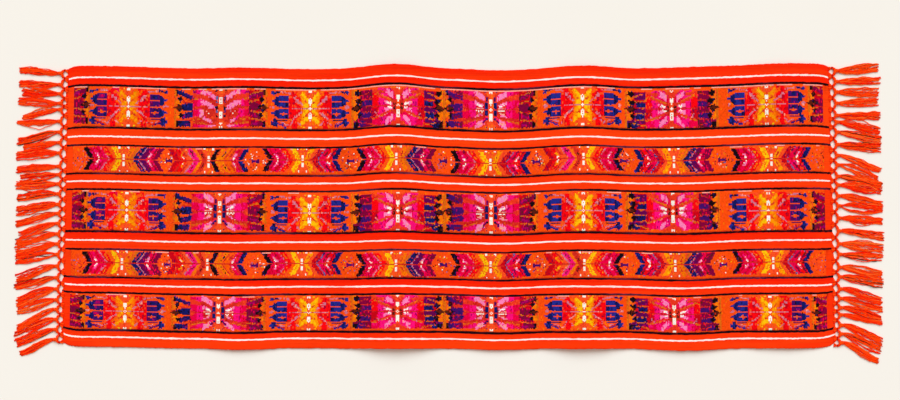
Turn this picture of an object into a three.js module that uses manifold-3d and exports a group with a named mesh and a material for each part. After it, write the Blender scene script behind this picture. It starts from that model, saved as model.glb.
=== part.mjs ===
// A rebozo, a long fringed shawl, laid out flat: one handwoven cloth with a row of knotted tassels
// along each end. Millimetres. +X runs along the cloth, +Y across it, +Z up from the surface it lies on.
import * as THREE from 'three';
import { mergeVertices } from 'three/addons/utils/BufferGeometryUtils.js';
import Module from 'manifold-3d';

const wasm = await Module();
wasm.setup();

// Cloth: the length is taken at mid width, and the width where no ripple shifts the selvedges.
const CLOTH_LENGTH = 1841;
const CLOTH_WIDTH = 674;
const CLOTH_THICKNESS = 1.8;
const END_SLANT = 13.5;          // how much longer the cloth is at the lower selvedge than at mid width
const CORNER_DRAW = 6;           // how far the last knots pull each corner in across the width
const CORNER_REACH = 45;         // length of that pull, along the cloth
const CLOTH_MIDDLE = { x: -1.4, y: 11.2 };   // from the middle of the whole outline, fringes included
const CLOTH_COLUMNS = 72;
const CLOTH_ROWS = 8;

// Ripples that run across the cloth. Each shifts the weave in its own plane (along +Y, at the upper and
// lower selvedge) and lifts it off the surface (at the upper and lower selvedge).
const RIPPLES = [
  { at: -865, half: 270, shiftUpper: 6, shiftLower: 4.5, liftUpper: 0, liftLower: 0 },
  { at: -500, half: 110, shiftUpper: 1.5, shiftLower: -2.5, liftUpper: 2, liftLower: 6 },
  { at: -330, half: 120, shiftUpper: -2, shiftLower: 1, liftUpper: 0, liftLower: 0 },
  { at: -128, half: 135, shiftUpper: 10, shiftLower: 1, liftUpper: 7, liftLower: 16 },
  { at: 121, half: 140, shiftUpper: -5, shiftLower: -3, liftUpper: 1, liftLower: 5 },
  { at: 324, half: 132, shiftUpper: 6, shiftLower: 0.5, liftUpper: 6, liftLower: 14 },
  { at: 565, half: 150, shiftUpper: 1, shiftLower: -5, liftUpper: 2, liftLower: 6 },
  { at: 800, half: 120, shiftUpper: 1, shiftLower: 0, liftUpper: 5, liftLower: 6 },
  { at: 855, half: 390, shiftUpper: 11, shiftLower: 1, liftUpper: 0, liftLower: 0 },
];

// Tassels
const CLEARANCE = 0.3;           // between the cloth and a leg, and between neighbouring tassels' legs
const KNOT_OUT = 22;             // from the cloth's end to the middle of a knot
const KNOT_RADIUS = 3.9;
const KNOT_HEIGHT = 5.2;
const KNOT_SIDES = 6;
const KNOT_TAPER = 0.62;         // radius at the top of a knot over its radius on the surface
const LOCKS_PER_TASSEL = 3;
const BELLY_WIDTH = 17;          // a tassel's full width where its yarns spread most
const LOCK_GAP = 0.7;            // between the locks of one tassel
const TASSEL_GAP = 1;            // between neighbouring tassels that lie close together
const SECTION_TAPER = 0.6;       // a lock's width on top over its width on the surface
const LOCK_SHORTFALL = [5, 0, 8];    // how much each lock of a tassel ends short of its tip

// A leg of a tassel, from its root at the cloth's end (0) to the knot (1). The leg keeps its distance
// from the other leg at first, so that the two leave a diamond-shaped gap between them.
const LAST_LEG_SPREAD = 9;       // from the first or last knot to its outer leg's root, along Y
const LEG_STATIONS = [
  { out: 0, inward: 0, width: 3.6, height: 2.6 },
  { out: 0.45, inward: 0.3, width: 3.1, height: 2.6 },
  { out: 1, inward: 1, width: 3.1, height: 3.4 },
];

// Stations along a tassel, from its knot (0) to its tip (1), with the share of the full width there,
// the height, and how far the bundle has bent from the knot towards the tip.
const STATIONS = [
  { along: 0, width: 0.3, height: 4.2, bend: 0 },
  { along: 0.2, width: 0.68, height: 4, bend: 0.15 },
  { along: 0.65, width: 1, height: 3.4, bend: 0.66 },
  { along: 1, width: 0.9, height: 2.2, bend: 1 },
];

// One row for each tassel, from the upper selvedge down: the place of the knot and of the tip along Y,
// and how far the tip reaches out from the knot, as they lie.
const LEFT_TASSELS = [
  { knot: 323, tip: 331, reach: 95 },
  { knot: 296, tip: 299, reach: 94 },
  { knot: 274, tip: 276, reach: 87 },
  { knot: 251, tip: 259, reach: 95 },
  { knot: 236, tip: 216, reach: 87 },
  { knot: 208, tip: 205, reach: 98 },
  { knot: 182, tip: 157, reach: 98 },
  { knot: 157, tip: 142, reach: 82 },
  { knot: 132, tip: 124, reach: 99 },
  { knot: 100, tip: 92, reach: 98 },
  { knot: 80, tip: 71, reach: 90 },
  { knot: 58, tip: 54, reach: 99 },
  { knot: 34, tip: 24, reach: 97 },
  { knot: 9, tip: -9, reach: 96 },
  { knot: -13, tip: -39, reach: 98 },
  { knot: -37, tip: -68, reach: 90 },
  { knot: -62, tip: -86, reach: 98 },
  { knot: -86, tip: -107, reach: 96 },
  { knot: -111, tip: -126, reach: 96 },
  { knot: -139, tip: -170, reach: 94 },
  { knot: -167, tip: -189, reach: 97 },
  { knot: -194, tip: -227, reach: 94 },
  { knot: -220, tip: -243, reach: 91 },
  { knot: -243, tip: -289, reach: 90 },
  { knot: -267, tip: -310, reach: 96 },
  { knot: -291, tip: -324, reach: 90 },
  { knot: -315, tip: -351, reach: 81 },
];
const RIGHT_TASSELS = [
  { knot: 329, tip: 338, reach: 98 },
  { knot: 303, tip: 306, reach: 101 },
  { knot: 278, tip: 278, reach: 97 },
  { knot: 251, tip: 256, reach: 95 },
  { knot: 222, tip: 222, reach: 100 },
  { knot: 206, tip: 184, reach: 98 },
  { knot: 182, tip: 164, reach: 101 },
  { knot: 152, tip: 145, reach: 101 },
  { knot: 126, tip: 90, reach: 100 },
  { knot: 103, tip: 67, reach: 92 },
  { knot: 76, tip: 55, reach: 102 },
  { knot: 55, tip: 41, reach: 99 },
  { knot: 29, tip: 6, reach: 102 },
  { knot: 5, tip: -5, reach: 102 },
  { knot: -24, tip: -32, reach: 101 },
  { knot: -55, tip: -71, reach: 103 },
  { knot: -86, tip: -96, reach: 101 },
  { knot: -111, tip: -117, reach: 100 },
  { knot: -142, tip: -162, reach: 96 },
  { knot: -165, tip: -181, reach: 99 },
  { knot: -194, tip: -225, reach: 96 },
  { knot: -217, tip: -242, reach: 96 },
  { knot: -239, tip: -266, reach: 92 },
  { knot: -256, tip: -277, reach: 97 },
  { knot: -281, tip: -325, reach: 94 },
  { knot: -302, tip: -341, reach: 91 },
  { knot: -323, tip: -368, reach: 84 },
];

// A low bump of height 1 at the middle of a ripple, falling smoothly to 0 at its half width.
function bump(distance, half) {
  if (Math.abs(distance) >= half) {
    return 0;
  }
  return Math.cos((Math.PI / 2) * distance / half) ** 2;
}

// Sum over the ripples of a value that runs evenly from the lower to the upper selvedge.
function rippleSum(x, across, lowerKey, upperKey) {
  const up = (across + 1) / 2;
  let sum = 0;
  for (const ripple of RIPPLES) {
    const height = ripple[lowerKey] * (1 - up) + ripple[upperKey] * up;
    sum += height * bump(x - ripple.at, ripple.half);
  }
  return sum;
}

// The cloth's end edge on either side (-1 left, +1 right) at a place across the width, from -1 to 1.
function endEdge(side, across) {
  return side * (CLOTH_LENGTH - END_SLANT * across) / 2;
}

// A point of the cloth's underside: along and across both run from -1 to 1.
function clothPoint(along, across) {
  const x = along * endEdge(1, across);
  const intoCorner = Math.max(0, Math.abs(x) - (CLOTH_LENGTH / 2 - CORNER_REACH)) / CORNER_REACH;
  const halfWidth = CLOTH_WIDTH / 2 - CORNER_DRAW * intoCorner ** 2;
  const y = across * halfWidth + rippleSum(x, across, 'shiftLower', 'shiftUpper');
  return new THREE.Vector3(x, y, rippleSum(x, across, 'liftLower', 'liftUpper'));
}

// A closed mesh from vertices and triangles.
function closedGeometry(vertices, triangles) {
  const geometry = new THREE.BufferGeometry();
  geometry.setAttribute('position', new THREE.Float32BufferAttribute(vertices, 3));
  geometry.setIndex(triangles);
  return geometry;
}

// The cloth: a grid for the underside, the same grid one thickness higher, and a strip round the rim.
function makeCloth() {
  const vertices = [];
  const triangles = [];
  const perRow = CLOTH_COLUMNS + 1;
  const perSide = perRow * (CLOTH_ROWS + 1);
  for (const up of [0, CLOTH_THICKNESS]) {
    for (let row = 0; row <= CLOTH_ROWS; row += 1) {
      for (let column = 0; column <= CLOTH_COLUMNS; column += 1) {
        const along = 2 * column / CLOTH_COLUMNS - 1;
        const point = clothPoint(along, 2 * row / CLOTH_ROWS - 1);
        vertices.push(point.x, point.y, point.z + up);
      }
    }
  }
  const at = (row, column) => row * perRow + column;
  for (let row = 0; row < CLOTH_ROWS; row += 1) {
    for (let column = 0; column < CLOTH_COLUMNS; column += 1) {
      const [a, b] = [at(row, column), at(row, column + 1)];
      const [c, d] = [at(row + 1, column + 1), at(row + 1, column)];
      triangles.push(a, c, b, a, d, c);
      triangles.push(a + perSide, b + perSide, c + perSide, a + perSide, c + perSide, d + perSide);
    }
  }
  const rim = [];
  for (let column = 0; column < CLOTH_COLUMNS; column += 1) {
    rim.push(at(0, column));
  }
  for (let row = 0; row < CLOTH_ROWS; row += 1) {
    rim.push(at(row, CLOTH_COLUMNS));
  }
  for (let column = CLOTH_COLUMNS; column > 0; column -= 1) {
    rim.push(at(CLOTH_ROWS, column));
  }
  for (let row = CLOTH_ROWS; row > 0; row -= 1) {
    rim.push(at(row, 0));
  }
  rim.forEach((a, index) => {
    const b = rim[(index + 1) % rim.length];
    triangles.push(a, b, b + perSide, a, b + perSide, a + perSide);
  });
  return closedGeometry(vertices, triangles);
}

// A flat-bottomed lock of yarn: a four-sided section that lies on the surface, carried through a list
// of rings { x, y, width, height }. Each ring lies across the tassel, along Y.
function makeLock(rings) {
  const vertices = [];
  const triangles = [];
  const ordered = rings[0].x < rings[rings.length - 1].x ? rings : [...rings].reverse();
  for (const { x, y, width, height } of ordered) {
    const base = width / 2;
    const top = base * SECTION_TAPER;
    vertices.push(x, y - base, 0, x, y + base, 0, x, y + top, height, x, y - top, height);
  }
  for (let ring = 0; ring < ordered.length - 1; ring += 1) {
    for (let corner = 0; corner < 4; corner += 1) {
      const a = 4 * ring + corner;
      const b = 4 * ring + (corner + 1) % 4;
      triangles.push(a, b, b + 4, a, b + 4, a + 4);
    }
  }
  const last = vertices.length / 3 - 4;
  triangles.push(0, 2, 1, 0, 3, 2);
  triangles.push(last, last + 1, last + 2, last, last + 2, last + 3);
  return closedGeometry(vertices, triangles);
}

// A knot: a short drum that tapers upwards and stands flat on the surface.
function makeKnot(x, y) {
  const drum = new THREE.CylinderGeometry(KNOT_RADIUS * KNOT_TAPER, KNOT_RADIUS, KNOT_HEIGHT, KNOT_SIDES);
  drum.rotateX(Math.PI / 2);
  drum.rotateZ(Math.PI / KNOT_SIDES);
  drum.translate(x, y, KNOT_HEIGHT / 2);
  return drum;
}

// A solid for joining, from a closed mesh with its shared vertices merged.
function toSolid(geometry) {
  const bare = geometry.clone();
  bare.deleteAttribute('normal');
  bare.deleteAttribute('uv');
  const merged = mergeVertices(bare, 1e-4);
  return new wasm.Manifold(new wasm.Mesh({
    numProp: 3,
    vertProperties: new Float32Array(merged.attributes.position.array),
    triVerts: new Uint32Array(merged.index.array),
  }));
}

// Several closed meshes joined into one body.
function fuse(geometries) {
  const joined = geometries.map(toSolid).reduce((whole, piece) => whole.add(piece));
  const mesh = joined.getMesh();
  return closedGeometry(Array.from(mesh.vertProperties), Array.from(mesh.triVerts));
}

// The bundle's middle along Y at a distance out from its knot: straight between the stations.
function bundleMiddle(tassel, out) {
  const along = Math.min(1, out / tassel.reach);
  const next = Math.max(1, STATIONS.findIndex((station) => station.along >= along));
  const [from, to] = [STATIONS[next - 1], STATIONS[next]];
  const share = (along - from.along) / (to.along - from.along);
  const bend = from.bend + share * (to.bend - from.bend);
  return tassel.knot + bend * (tassel.tip - tassel.knot);
}

// The width a tassel takes at a distance out: its own, or less where a neighbour lies close.
function bundleWidth(tassels, index, out, ownWidth) {
  const middle = bundleMiddle(tassels[index], out);
  const neighbours = [tassels[index - 1], tassels[index + 1]].filter(Boolean);
  const rooms = neighbours.map((tassel) => Math.abs(bundleMiddle(tassel, out) - middle) - TASSEL_GAP);
  return Math.min(ownWidth, ...rooms);
}

// The end edge's place nearest to a height along Y.
function edgeNear(side, y) {
  return endEdge(side, Math.max(-1, Math.min(1, 2 * y / CLOTH_WIDTH)));
}

// One tassel: two legs from the cloth's end to the knot, and the locks from the knot to the tip.
function makeTassel(tassels, index, side) {
  const tassel = tassels[index];
  const knotX = edgeNear(side, tassel.knot) + side * KNOT_OUT;
  const pieces = [makeKnot(knotX, tassel.knot)];
  for (const step of [-1, 1]) {
    const neighbour = tassels[index + step];
    const halfway = neighbour ? Math.abs(neighbour.knot - tassel.knot) / 2 : LAST_LEG_SPREAD;
    const rootY = tassel.knot - step * (halfway - LEG_STATIONS[0].width / 2 - CLEARANCE / 2);
    const rootX = edgeNear(side, rootY) + side * CLEARANCE;
    pieces.push(makeLock(LEG_STATIONS.map((station) => ({
      x: rootX + station.out * (knotX - rootX),
      y: rootY + station.inward * (tassel.knot - rootY),
      width: station.width,
      height: station.height,
    }))));
  }
  for (let lock = 0; lock < LOCKS_PER_TASSEL; lock += 1) {
    const place = lock - (LOCKS_PER_TASSEL - 1) / 2;
    const length = tassel.reach - LOCK_SHORTFALL[(lock + index) % LOCK_SHORTFALL.length];
    pieces.push(makeLock(STATIONS.map((station) => {
      const out = length * station.along;
      const pitch = bundleWidth(tassels, index, out, BELLY_WIDTH * station.width) / LOCKS_PER_TASSEL;
      return {
        x: knotX + side * out,
        y: bundleMiddle(tassel, out) + place * pitch,
        width: station.along > 0 ? pitch - LOCK_GAP : pitch,
        height: station.height,
      };
    })));
  }
  return fuse(pieces);
}

const clothMaterial = new THREE.MeshStandardMaterial({ color: 0xf93a10, roughness: 0.9, metalness: 0 });
const yarnMaterial = new THREE.MeshStandardMaterial({ color: 0xe8391a, roughness: 0.95, metalness: 0 });

function namedMesh(name, geometry, material) {
  const mesh = new THREE.Mesh(geometry, material);
  mesh.name = name;
  return mesh;
}

const rebozo = new THREE.Group();
rebozo.position.set(CLOTH_MIDDLE.x, CLOTH_MIDDLE.y, 0);
rebozo.add(namedMesh('cloth', makeCloth(), clothMaterial));
const fringes = [
  { name: 'tassel_left', side: -1, tassels: LEFT_TASSELS },
  { name: 'tassel_right', side: 1, tassels: RIGHT_TASSELS },
];
for (const { name, side, tassels } of fringes) {
  tassels.forEach((tassel, index) => {
    const number = String(index + 1).padStart(2, '0');
    rebozo.add(namedMesh(`${name}_${number}`, makeTassel(tassels, index, side), yarnMaterial.clone()));
  });
}

export default rebozo;
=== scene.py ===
# %% [markdown]
# # A rebozo laid out flat
# A rebozo is a long shawl, woven on a narrow loom. Its warp, the set of threads that runs the whole length,
# is dyed orange red with white and black pinstripes, and leaves a fringe at both ends that is knotted into
# tassels. Five bands of coloured figures, the brocade, are laid in along it with extra yarn.
# The measured solids come first. They say how far the cloth reaches and where each tassel hangs, and
# everything that follows is fitted to them.

import bpy
import numpy as np
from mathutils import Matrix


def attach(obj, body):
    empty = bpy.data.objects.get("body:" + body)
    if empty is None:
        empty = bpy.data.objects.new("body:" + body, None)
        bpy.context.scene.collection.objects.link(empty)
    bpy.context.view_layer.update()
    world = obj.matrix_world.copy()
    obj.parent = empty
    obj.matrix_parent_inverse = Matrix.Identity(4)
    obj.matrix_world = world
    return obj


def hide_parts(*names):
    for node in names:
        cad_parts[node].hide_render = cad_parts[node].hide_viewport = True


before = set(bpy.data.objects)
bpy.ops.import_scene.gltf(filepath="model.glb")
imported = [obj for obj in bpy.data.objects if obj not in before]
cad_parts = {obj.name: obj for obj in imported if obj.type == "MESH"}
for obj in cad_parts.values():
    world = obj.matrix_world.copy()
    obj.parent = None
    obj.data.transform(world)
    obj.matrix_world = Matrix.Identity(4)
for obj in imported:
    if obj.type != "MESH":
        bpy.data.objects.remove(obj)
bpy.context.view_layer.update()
MM = 0.001

# %% [markdown]
# ## Where the viewer stands
# The cloth lies face up, and the picture is taken from straight above it. A perspective camera about three
# metres up keeps the slight spread of a real lens: the crests of the ripples come a little nearer.

# %% Hang the camera over the cloth
VIEW_WIDTH = 2160 * MM
CAMERA_HEIGHT = 3.1
VIEW_MIDDLE = (2.4 * MM, 30.6 * MM)

camera_data = bpy.data.cameras.new("overhead_camera")
camera_data.lens = camera_data.sensor_width * CAMERA_HEIGHT / VIEW_WIDTH
camera = bpy.data.objects.new("overhead_camera", camera_data)
camera.location = (*VIEW_MIDDLE, CAMERA_HEIGHT)
bpy.context.scene.collection.objects.link(camera)
bpy.context.scene.camera = camera
print("lens, in millimetres:", round(camera_data.lens, 1))

# %% [markdown]
# ## The dye pots
# The weaver works with a few dozen yarns. Each gets a plain name here, with the red, green and blue of a
# colour picker, and the charts further down call for yarns by name. Shaders count light and not picker
# numbers, so the table is turned into linear light once, and everything else uses that.

# %% Name the yarns
YARNS = {
    "ground red": (250, 30, 3),
    "ground orange": (253, 66, 10),
    "band orange": (255, 77, 9),
    "marigold": (255, 90, 2),
    "coral": (255, 80, 32),
    "amber": (252, 116, 2),
    "ochre": (222, 104, 16),
    "gold": (255, 150, 2),
    "lemon": (255, 190, 8),
    "cream": (255, 248, 232),
    "white": (253, 241, 236),
    "blush": (255, 158, 138),
    "red": (252, 4, 14),
    "deep red": (204, 4, 22),
    "crimson": (238, 0, 66),
    "wine": (132, 2, 58),
    "magenta": (170, 0, 96),
    "hot pink": (255, 14, 120),
    "pale pink": (255, 130, 184),
    "rust": (214, 42, 30),
    "brick": (240, 54, 30),
    "brown": (92, 30, 16),
    "black": (24, 8, 16),
    "faded black": (104, 40, 62),
    "navy": (20, 24, 96),
    "blue": (34, 42, 140),
    "purple": (70, 14, 104),
    "plum": (100, 4, 78),
    "mauve": (212, 116, 140),
    "slate": (96, 100, 158),
}


def linear_light(picked):
    """The share of light for picker numbers from 0 to 255, by the standard curve of a screen."""
    share = np.asarray(picked, float) / 255
    return np.where(share <= 0.04045, share / 12.92, ((share + 0.055) / 1.055) ** 2.4)


NUMBER = {name: number for number, name in enumerate(YARNS)}
DYES = linear_light(list(YARNS.values()))
print(len(YARNS), "yarns on the shelf")

# %% [markdown]
# ## How the cloth lies
# Cloth that is spread by hand never lies dead flat. Nine broad ripples cross this one. Each pushes the
# weave a little sideways, so that the stripes bend, and some lift it off the table. The same few numbers
# shaped the measured solid, so the fine cloth made here follows it closely. Their sideways shifts are a
# least-squares fit to the white pinstripes and selvedges traced in the photograph, rounded to half a
# millimetre.

# %% Work out where a woven point lies
CLOTH_LENGTH = 1841 * MM
CLOTH_WIDTH = 674 * MM
END_SLANT = 13.5 * MM
CORNER_DRAW = 6 * MM
CORNER_REACH = 45 * MM
CLOTH_MIDDLE = (-1.4 * MM, 11.2 * MM)
RIPPLES = MM * np.array([
    # middle, half width, shift above, shift below, lift above, lift below
    (-865, 270, 6, 4.5, 0, 0),
    (-500, 110, 1.5, -2.5, 2, 6),
    (-330, 120, -2, 1, 0, 0),
    (-128, 135, 10, 1, 7, 16),
    (121, 140, -5, -3, 1, 5),
    (324, 132, 6, 0.5, 6, 14),
    (565, 150, 1, -5, 2, 6),
    (800, 120, 1, 0, 5, 6),
    (855, 390, 11, 1, 0, 0),
])
SELVEDGE_CURL = 2.2 * MM
CURL_REACH = 26 * MM


def lie(along, across):
    """The place of a woven point, in metres. A ripple fades as a squared cosine from its middle to its
    half width, and its shift and lift run evenly from the lower to the upper selvedge. The corners are
    drawn in by the square of the distance into the corner, and the lower selvedge curls up a little."""
    into_corner = np.maximum(0, abs(along) - CLOTH_LENGTH / 2 + CORNER_REACH) / CORNER_REACH
    y = across * (1 - CORNER_DRAW * into_corner**2 / (CLOTH_WIDTH / 2))
    z = np.zeros(np.broadcast(along, across).shape)
    up = across / CLOTH_WIDTH + 0.5
    for middle, half, shift_above, shift_below, lift_above, lift_below in RIPPLES:
        distance = (along - middle) / half
        fade = np.where(abs(distance) < 1, np.cos(np.pi / 2 * distance) ** 2, 0)
        y = y + fade * (shift_below + up * (shift_above - shift_below))
        z = z + fade * (lift_below + up * (lift_above - lift_below))
    from_selvedge = (across + CLOTH_WIDTH / 2) / CURL_REACH
    z = z + SELVEDGE_CURL * np.maximum(0, 1 - from_selvedge) ** 2 * (1 - np.minimum(1, into_corner))
    return along + CLOTH_MIDDLE[0], y + CLOTH_MIDDLE[1], z


print("highest crest, in mm:", round(float(lie(RIPPLES[:, 0], -CLOTH_WIDTH / 2)[2].max() / MM), 1))

# %% [markdown]
# ## Helpers for woven pieces
# A sheet is a grid of points seen from above, the same grid a thread's thickness lower, and a rim that
# closes the two. Each little face carries the colour of its own yarn, so a figure is crisp however near
# the viewer comes. Two maps go with it: one counts threads for the weave's relief, and the other lays
# the faces out side by side for a picture.

# %% Build a closed sheet and a mesh
def closed_sheet(x, y, top, bottom):
    """Points and four-cornered faces of a sheet: the upper grid, the lower grid turned over, and a rim
    that walks once round the edge. Rows run upwards and columns to the right."""
    number = np.arange(x.size).reshape(x.shape)
    corners = [number[:-1, :-1], number[:-1, 1:], number[1:, 1:], number[1:, :-1]]
    upper = np.stack(corners, -1).reshape(-1, 4)
    lower = upper[:, ::-1] + x.size
    edge = np.concatenate([number[0, :-1], number[:-1, -1], number[-1, :0:-1], number[:0:-1, 0]])
    after = np.roll(edge, -1)
    rim = np.stack([edge, edge + x.size, after + x.size, after], -1)
    points = np.concatenate([np.stack([x, y, z], -1).reshape(-1, 3) for z in (top, bottom)])
    return points, np.concatenate([upper, lower, rim])


def make_piece(name, points, faces, colours, maps, material):
    """A mesh object from whole arrays: a colour for each face, and for each map a place for each corner
    of each face."""
    mesh = bpy.data.meshes.new(name)
    mesh.vertices.add(len(points))
    mesh.vertices.foreach_set("co", points.astype(np.float32).ravel())
    mesh.loops.add(faces.size)
    mesh.loops.foreach_set("vertex_index", faces.astype(np.int32).ravel())
    mesh.polygons.add(len(faces))
    mesh.polygons.foreach_set("loop_start", np.arange(0, faces.size, 4, dtype=np.int32))
    mesh.polygons.foreach_set("use_smooth", np.ones(len(faces), bool))
    mesh.update(calc_edges=True)
    opaque = np.column_stack([colours, np.ones(len(faces))])
    shade = mesh.color_attributes.new(name="yarn_colour", type="FLOAT_COLOR", domain="CORNER")
    shade.data.foreach_set("color", np.repeat(opaque, 4, axis=0).astype(np.float32).ravel())
    for map_name, places in maps.items():
        layer = mesh.uv_layers.new(name=map_name)
        layer.data.foreach_set("uv", places.astype(np.float32).ravel())
    mesh.materials.append(material)
    piece = bpy.data.objects.new(name, mesh)
    bpy.context.scene.collection.objects.link(piece)
    return piece


def corner_places(columns, rows):
    """The (column, row) of the four corners of every face of a grid, in the order of its faces."""
    column, row = np.meshgrid(np.arange(columns), np.arange(rows))
    right, up = np.array([0, 1, 1, 0]), np.array([0, 0, 1, 1])
    return np.stack([column[..., None] + right, row[..., None] + up], -1).reshape(-1, 4, 2)


def drift(random, count, reach):
    """An uneven line between 0 and 1: random numbers, averaged over a moving bell-shaped window."""
    window = np.hanning(reach + 2)[1:-1]
    line = np.convolve(random.random(count + reach), window / window.sum(), "valid")[:count]
    return (line - line.min()) / np.ptp(line)


# %% [markdown]
# ## The finish of woven cotton
# Cotton is matt, with a faint bloom of loose fibres, so it takes a high roughness, very little gloss and a
# touch of sheen. Its relief is fine: in the ground cloth the warp covers the weft, so the eye sees close
# ribs along the length, with a dip wherever a weft thread passes under them. In the brocade the extra
# yarn lies across, in short floats side by side. Both reliefs are sums of waves over the thread counts.

# %% Dye and bump a woven surface
def arithmetic(tree, operation, first, second=0.0):
    """One step of arithmetic in a material, on numbers or on other nodes' outputs."""
    step = tree.nodes.new("ShaderNodeMath")
    step.operation = operation
    for socket, value in zip(step.inputs, (first, second)):
        if isinstance(value, bpy.types.NodeSocket):
            tree.links.new(value, socket)
        else:
            socket.default_value = value
    return step.outputs["Value"]


def ridges(tree, count):
    """A row of round ridges: the height is the size of the sine of pi times the thread count."""
    return arithmetic(tree, "ABSOLUTE", arithmetic(tree, "SINE", arithmetic(tree, "MULTIPLY", count, np.pi)))


def cotton(name, sheen):
    """A matt shader with the yarn colours of its piece, and the tree that the relief is added to."""
    material = bpy.data.materials.new(name)
    material.use_nodes = True
    tree = material.node_tree
    skin = tree.nodes["Principled BSDF"]
    skin.inputs["Roughness"].default_value = 0.92
    skin.inputs["Specular IOR Level"].default_value = 0.03
    skin.inputs["Sheen Weight"].default_value = sheen
    skin.inputs["Sheen Roughness"].default_value = 0.5
    dyed = tree.nodes.new("ShaderNodeAttribute")
    dyed.attribute_name = "yarn_colour"
    return material, tree, skin, dyed.outputs["Color"]


def uneven_dye(tree, colour, stretch, strength):
    """Streaks where the dye took better or worse: a noise, stretched along the threads, that darkens or
    brightens the yarn's own colour by up to the given share."""
    place = tree.nodes.new("ShaderNodeTexCoord")
    mapping = tree.nodes.new("ShaderNodeMapping")
    mapping.inputs["Scale"].default_value = stretch
    noise = tree.nodes.new("ShaderNodeTexNoise")
    noise.inputs["Scale"].default_value = 1.0
    noise.inputs["Detail"].default_value = 3.0
    tree.links.new(place.outputs["Object"], mapping.inputs["Vector"])
    tree.links.new(mapping.outputs["Vector"], noise.inputs["Vector"])
    spread = tree.nodes.new("ShaderNodeMapRange")
    spread.inputs["From Min"].default_value = 0.3
    spread.inputs["From Max"].default_value = 0.7
    spread.inputs["To Min"].default_value = 1.0 - strength
    spread.inputs["To Max"].default_value = 1.0 + strength
    tree.links.new(noise.outputs["Fac"], spread.inputs["Value"])
    dyed = tree.nodes.new("ShaderNodeVectorMath")
    dyed.operation = "SCALE"
    tree.links.new(colour, dyed.inputs[0])
    tree.links.new(spread.outputs["Result"], dyed.inputs["Scale"])
    return dyed.outputs["Vector"]


def raise_relief(tree, skin, height, depth):
    """Bump from a height between 0 and 1, with the real depth of the relief in metres."""
    bump = tree.nodes.new("ShaderNodeBump")
    bump.inputs["Distance"].default_value = depth
    tree.links.new(height, bump.inputs["Height"])
    tree.links.new(bump.outputs["Normal"], skin.inputs["Normal"])


def thread_counts(tree):
    """The two counts of the piece's own map named threads: along it and across it."""
    read = tree.nodes.new("ShaderNodeUVMap")
    read.uv_map = "threads"
    split = tree.nodes.new("ShaderNodeSeparateXYZ")
    tree.links.new(read.outputs["UV"], split.inputs["Vector"])
    return split.outputs["X"], split.outputs["Y"]


def ground_finish():
    """Warp-faced cotton: ribs along the length, each dipping in turn where the weft crosses it."""
    material, tree, skin, colour = cotton("ground_cotton", 0.008)
    along, across = thread_counts(tree)
    rib_number = arithmetic(tree, "FLOOR", across)
    shifted = arithmetic(tree, "ADD", along, arithmetic(tree, "MULTIPLY", rib_number, 0.5))
    height = arithmetic(tree, "ADD", ridges(tree, across),
                        arithmetic(tree, "MULTIPLY", ridges(tree, shifted), 0.6))
    raise_relief(tree, skin, height, 0.16 * MM)
    streaked = uneven_dye(tree, colour, (5, 330, 1), 0.1)
    tree.links.new(uneven_dye(tree, streaked, (60, 1500, 1), 0.1), skin.inputs["Base Color"])
    return material


def brocade_finish():
    """Brocade: three yarns side by side in each stitch, whose floats go under every second row."""
    material, tree, skin, colour = cotton("brocade_cotton", 0.012)
    along, across = thread_counts(tree)
    stagger = arithmetic(tree, "MULTIPLY", arithmetic(tree, "FLOOR", along), 0.5)
    float_count = arithmetic(tree, "ADD", arithmetic(tree, "MULTIPLY", across, 0.5), stagger)
    yarn_height = ridges(tree, arithmetic(tree, "MULTIPLY", along, 3.0))
    float_height = arithmetic(tree, "POWER", ridges(tree, float_count), 0.35)
    height = arithmetic(tree, "MULTIPLY", float_height, arithmetic(tree, "ADD", yarn_height, 0.7))
    raise_relief(tree, skin, height, 0.3 * MM)
    tree.links.new(uneven_dye(tree, colour, (900, 140, 1), 0.14), skin.inputs["Base Color"])
    return material


GROUND_FINISH = ground_finish()
BROCADE_FINISH = brocade_finish()
print("finishes:", GROUND_FINISH.name, BROCADE_FINISH.name)

# %% [markdown]
# ## The ground cloth
# The ground is one long panel. Its stripes are part of the warp, so they run from end to end, and only the
# rows that need it are fine: the grid has a line at both edges of every pinstripe, and wider rows between
# them. The pinstripe yarn is a little thicker than the rest, so those rows stand up by a hair. The places
# of the white lines come from the same fit as the ripples' shifts.

# %% Set out the warp stripes
WHITE_WIDTH = 3.6 * MM
WHITE_LINES = MM * np.array([307.9, 167, 59.5, -81.6, -188.9, -313.4])
BLACK_LINES = MM * np.array([289.1, 187.9, 146.1, 78.1, 40.4, -60.4, -103.1, -170.3, -207.3, -296.9])
BLACK_WIDTHS = MM * np.array([5.4, 5.2, 4.6, 4.6, 4.8, 5.2, 4.6, 4.6, 4.8, 5.4])
BLACK_WEAR = np.array([0, 0, 0.4, 0.2, 0.25, 0, 0.35, 0.35, 0.1, 0])
WIDE_BANDS = MM * np.array([(190.9, 286.1), (-57.4, 37.4), (-293.9, -210.3)])
NARROW_BANDS = MM * np.array([(81.1, 143.1), (-167.3, -106.1)])
GROUND_ROW = 3.6 * MM
COVERED_ROW = 24 * MM
GROUND_COLUMNS = 400
UPPER_SELVEDGE = 335.4 * MM
LOWER_SELVEDGE = -CLOTH_WIDTH / 2


def inside(values, spans):
    """Which of the values lie in any of the (low, high) spans."""
    return ((values[:, None] > spans[:, 0]) & (values[:, None] < spans[:, 1])).any(axis=1)


def around(middles, width):
    """The (low, high) spans of lines with these middles and this width."""
    return np.stack([middles - width / 2, middles + width / 2], -1)


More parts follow.
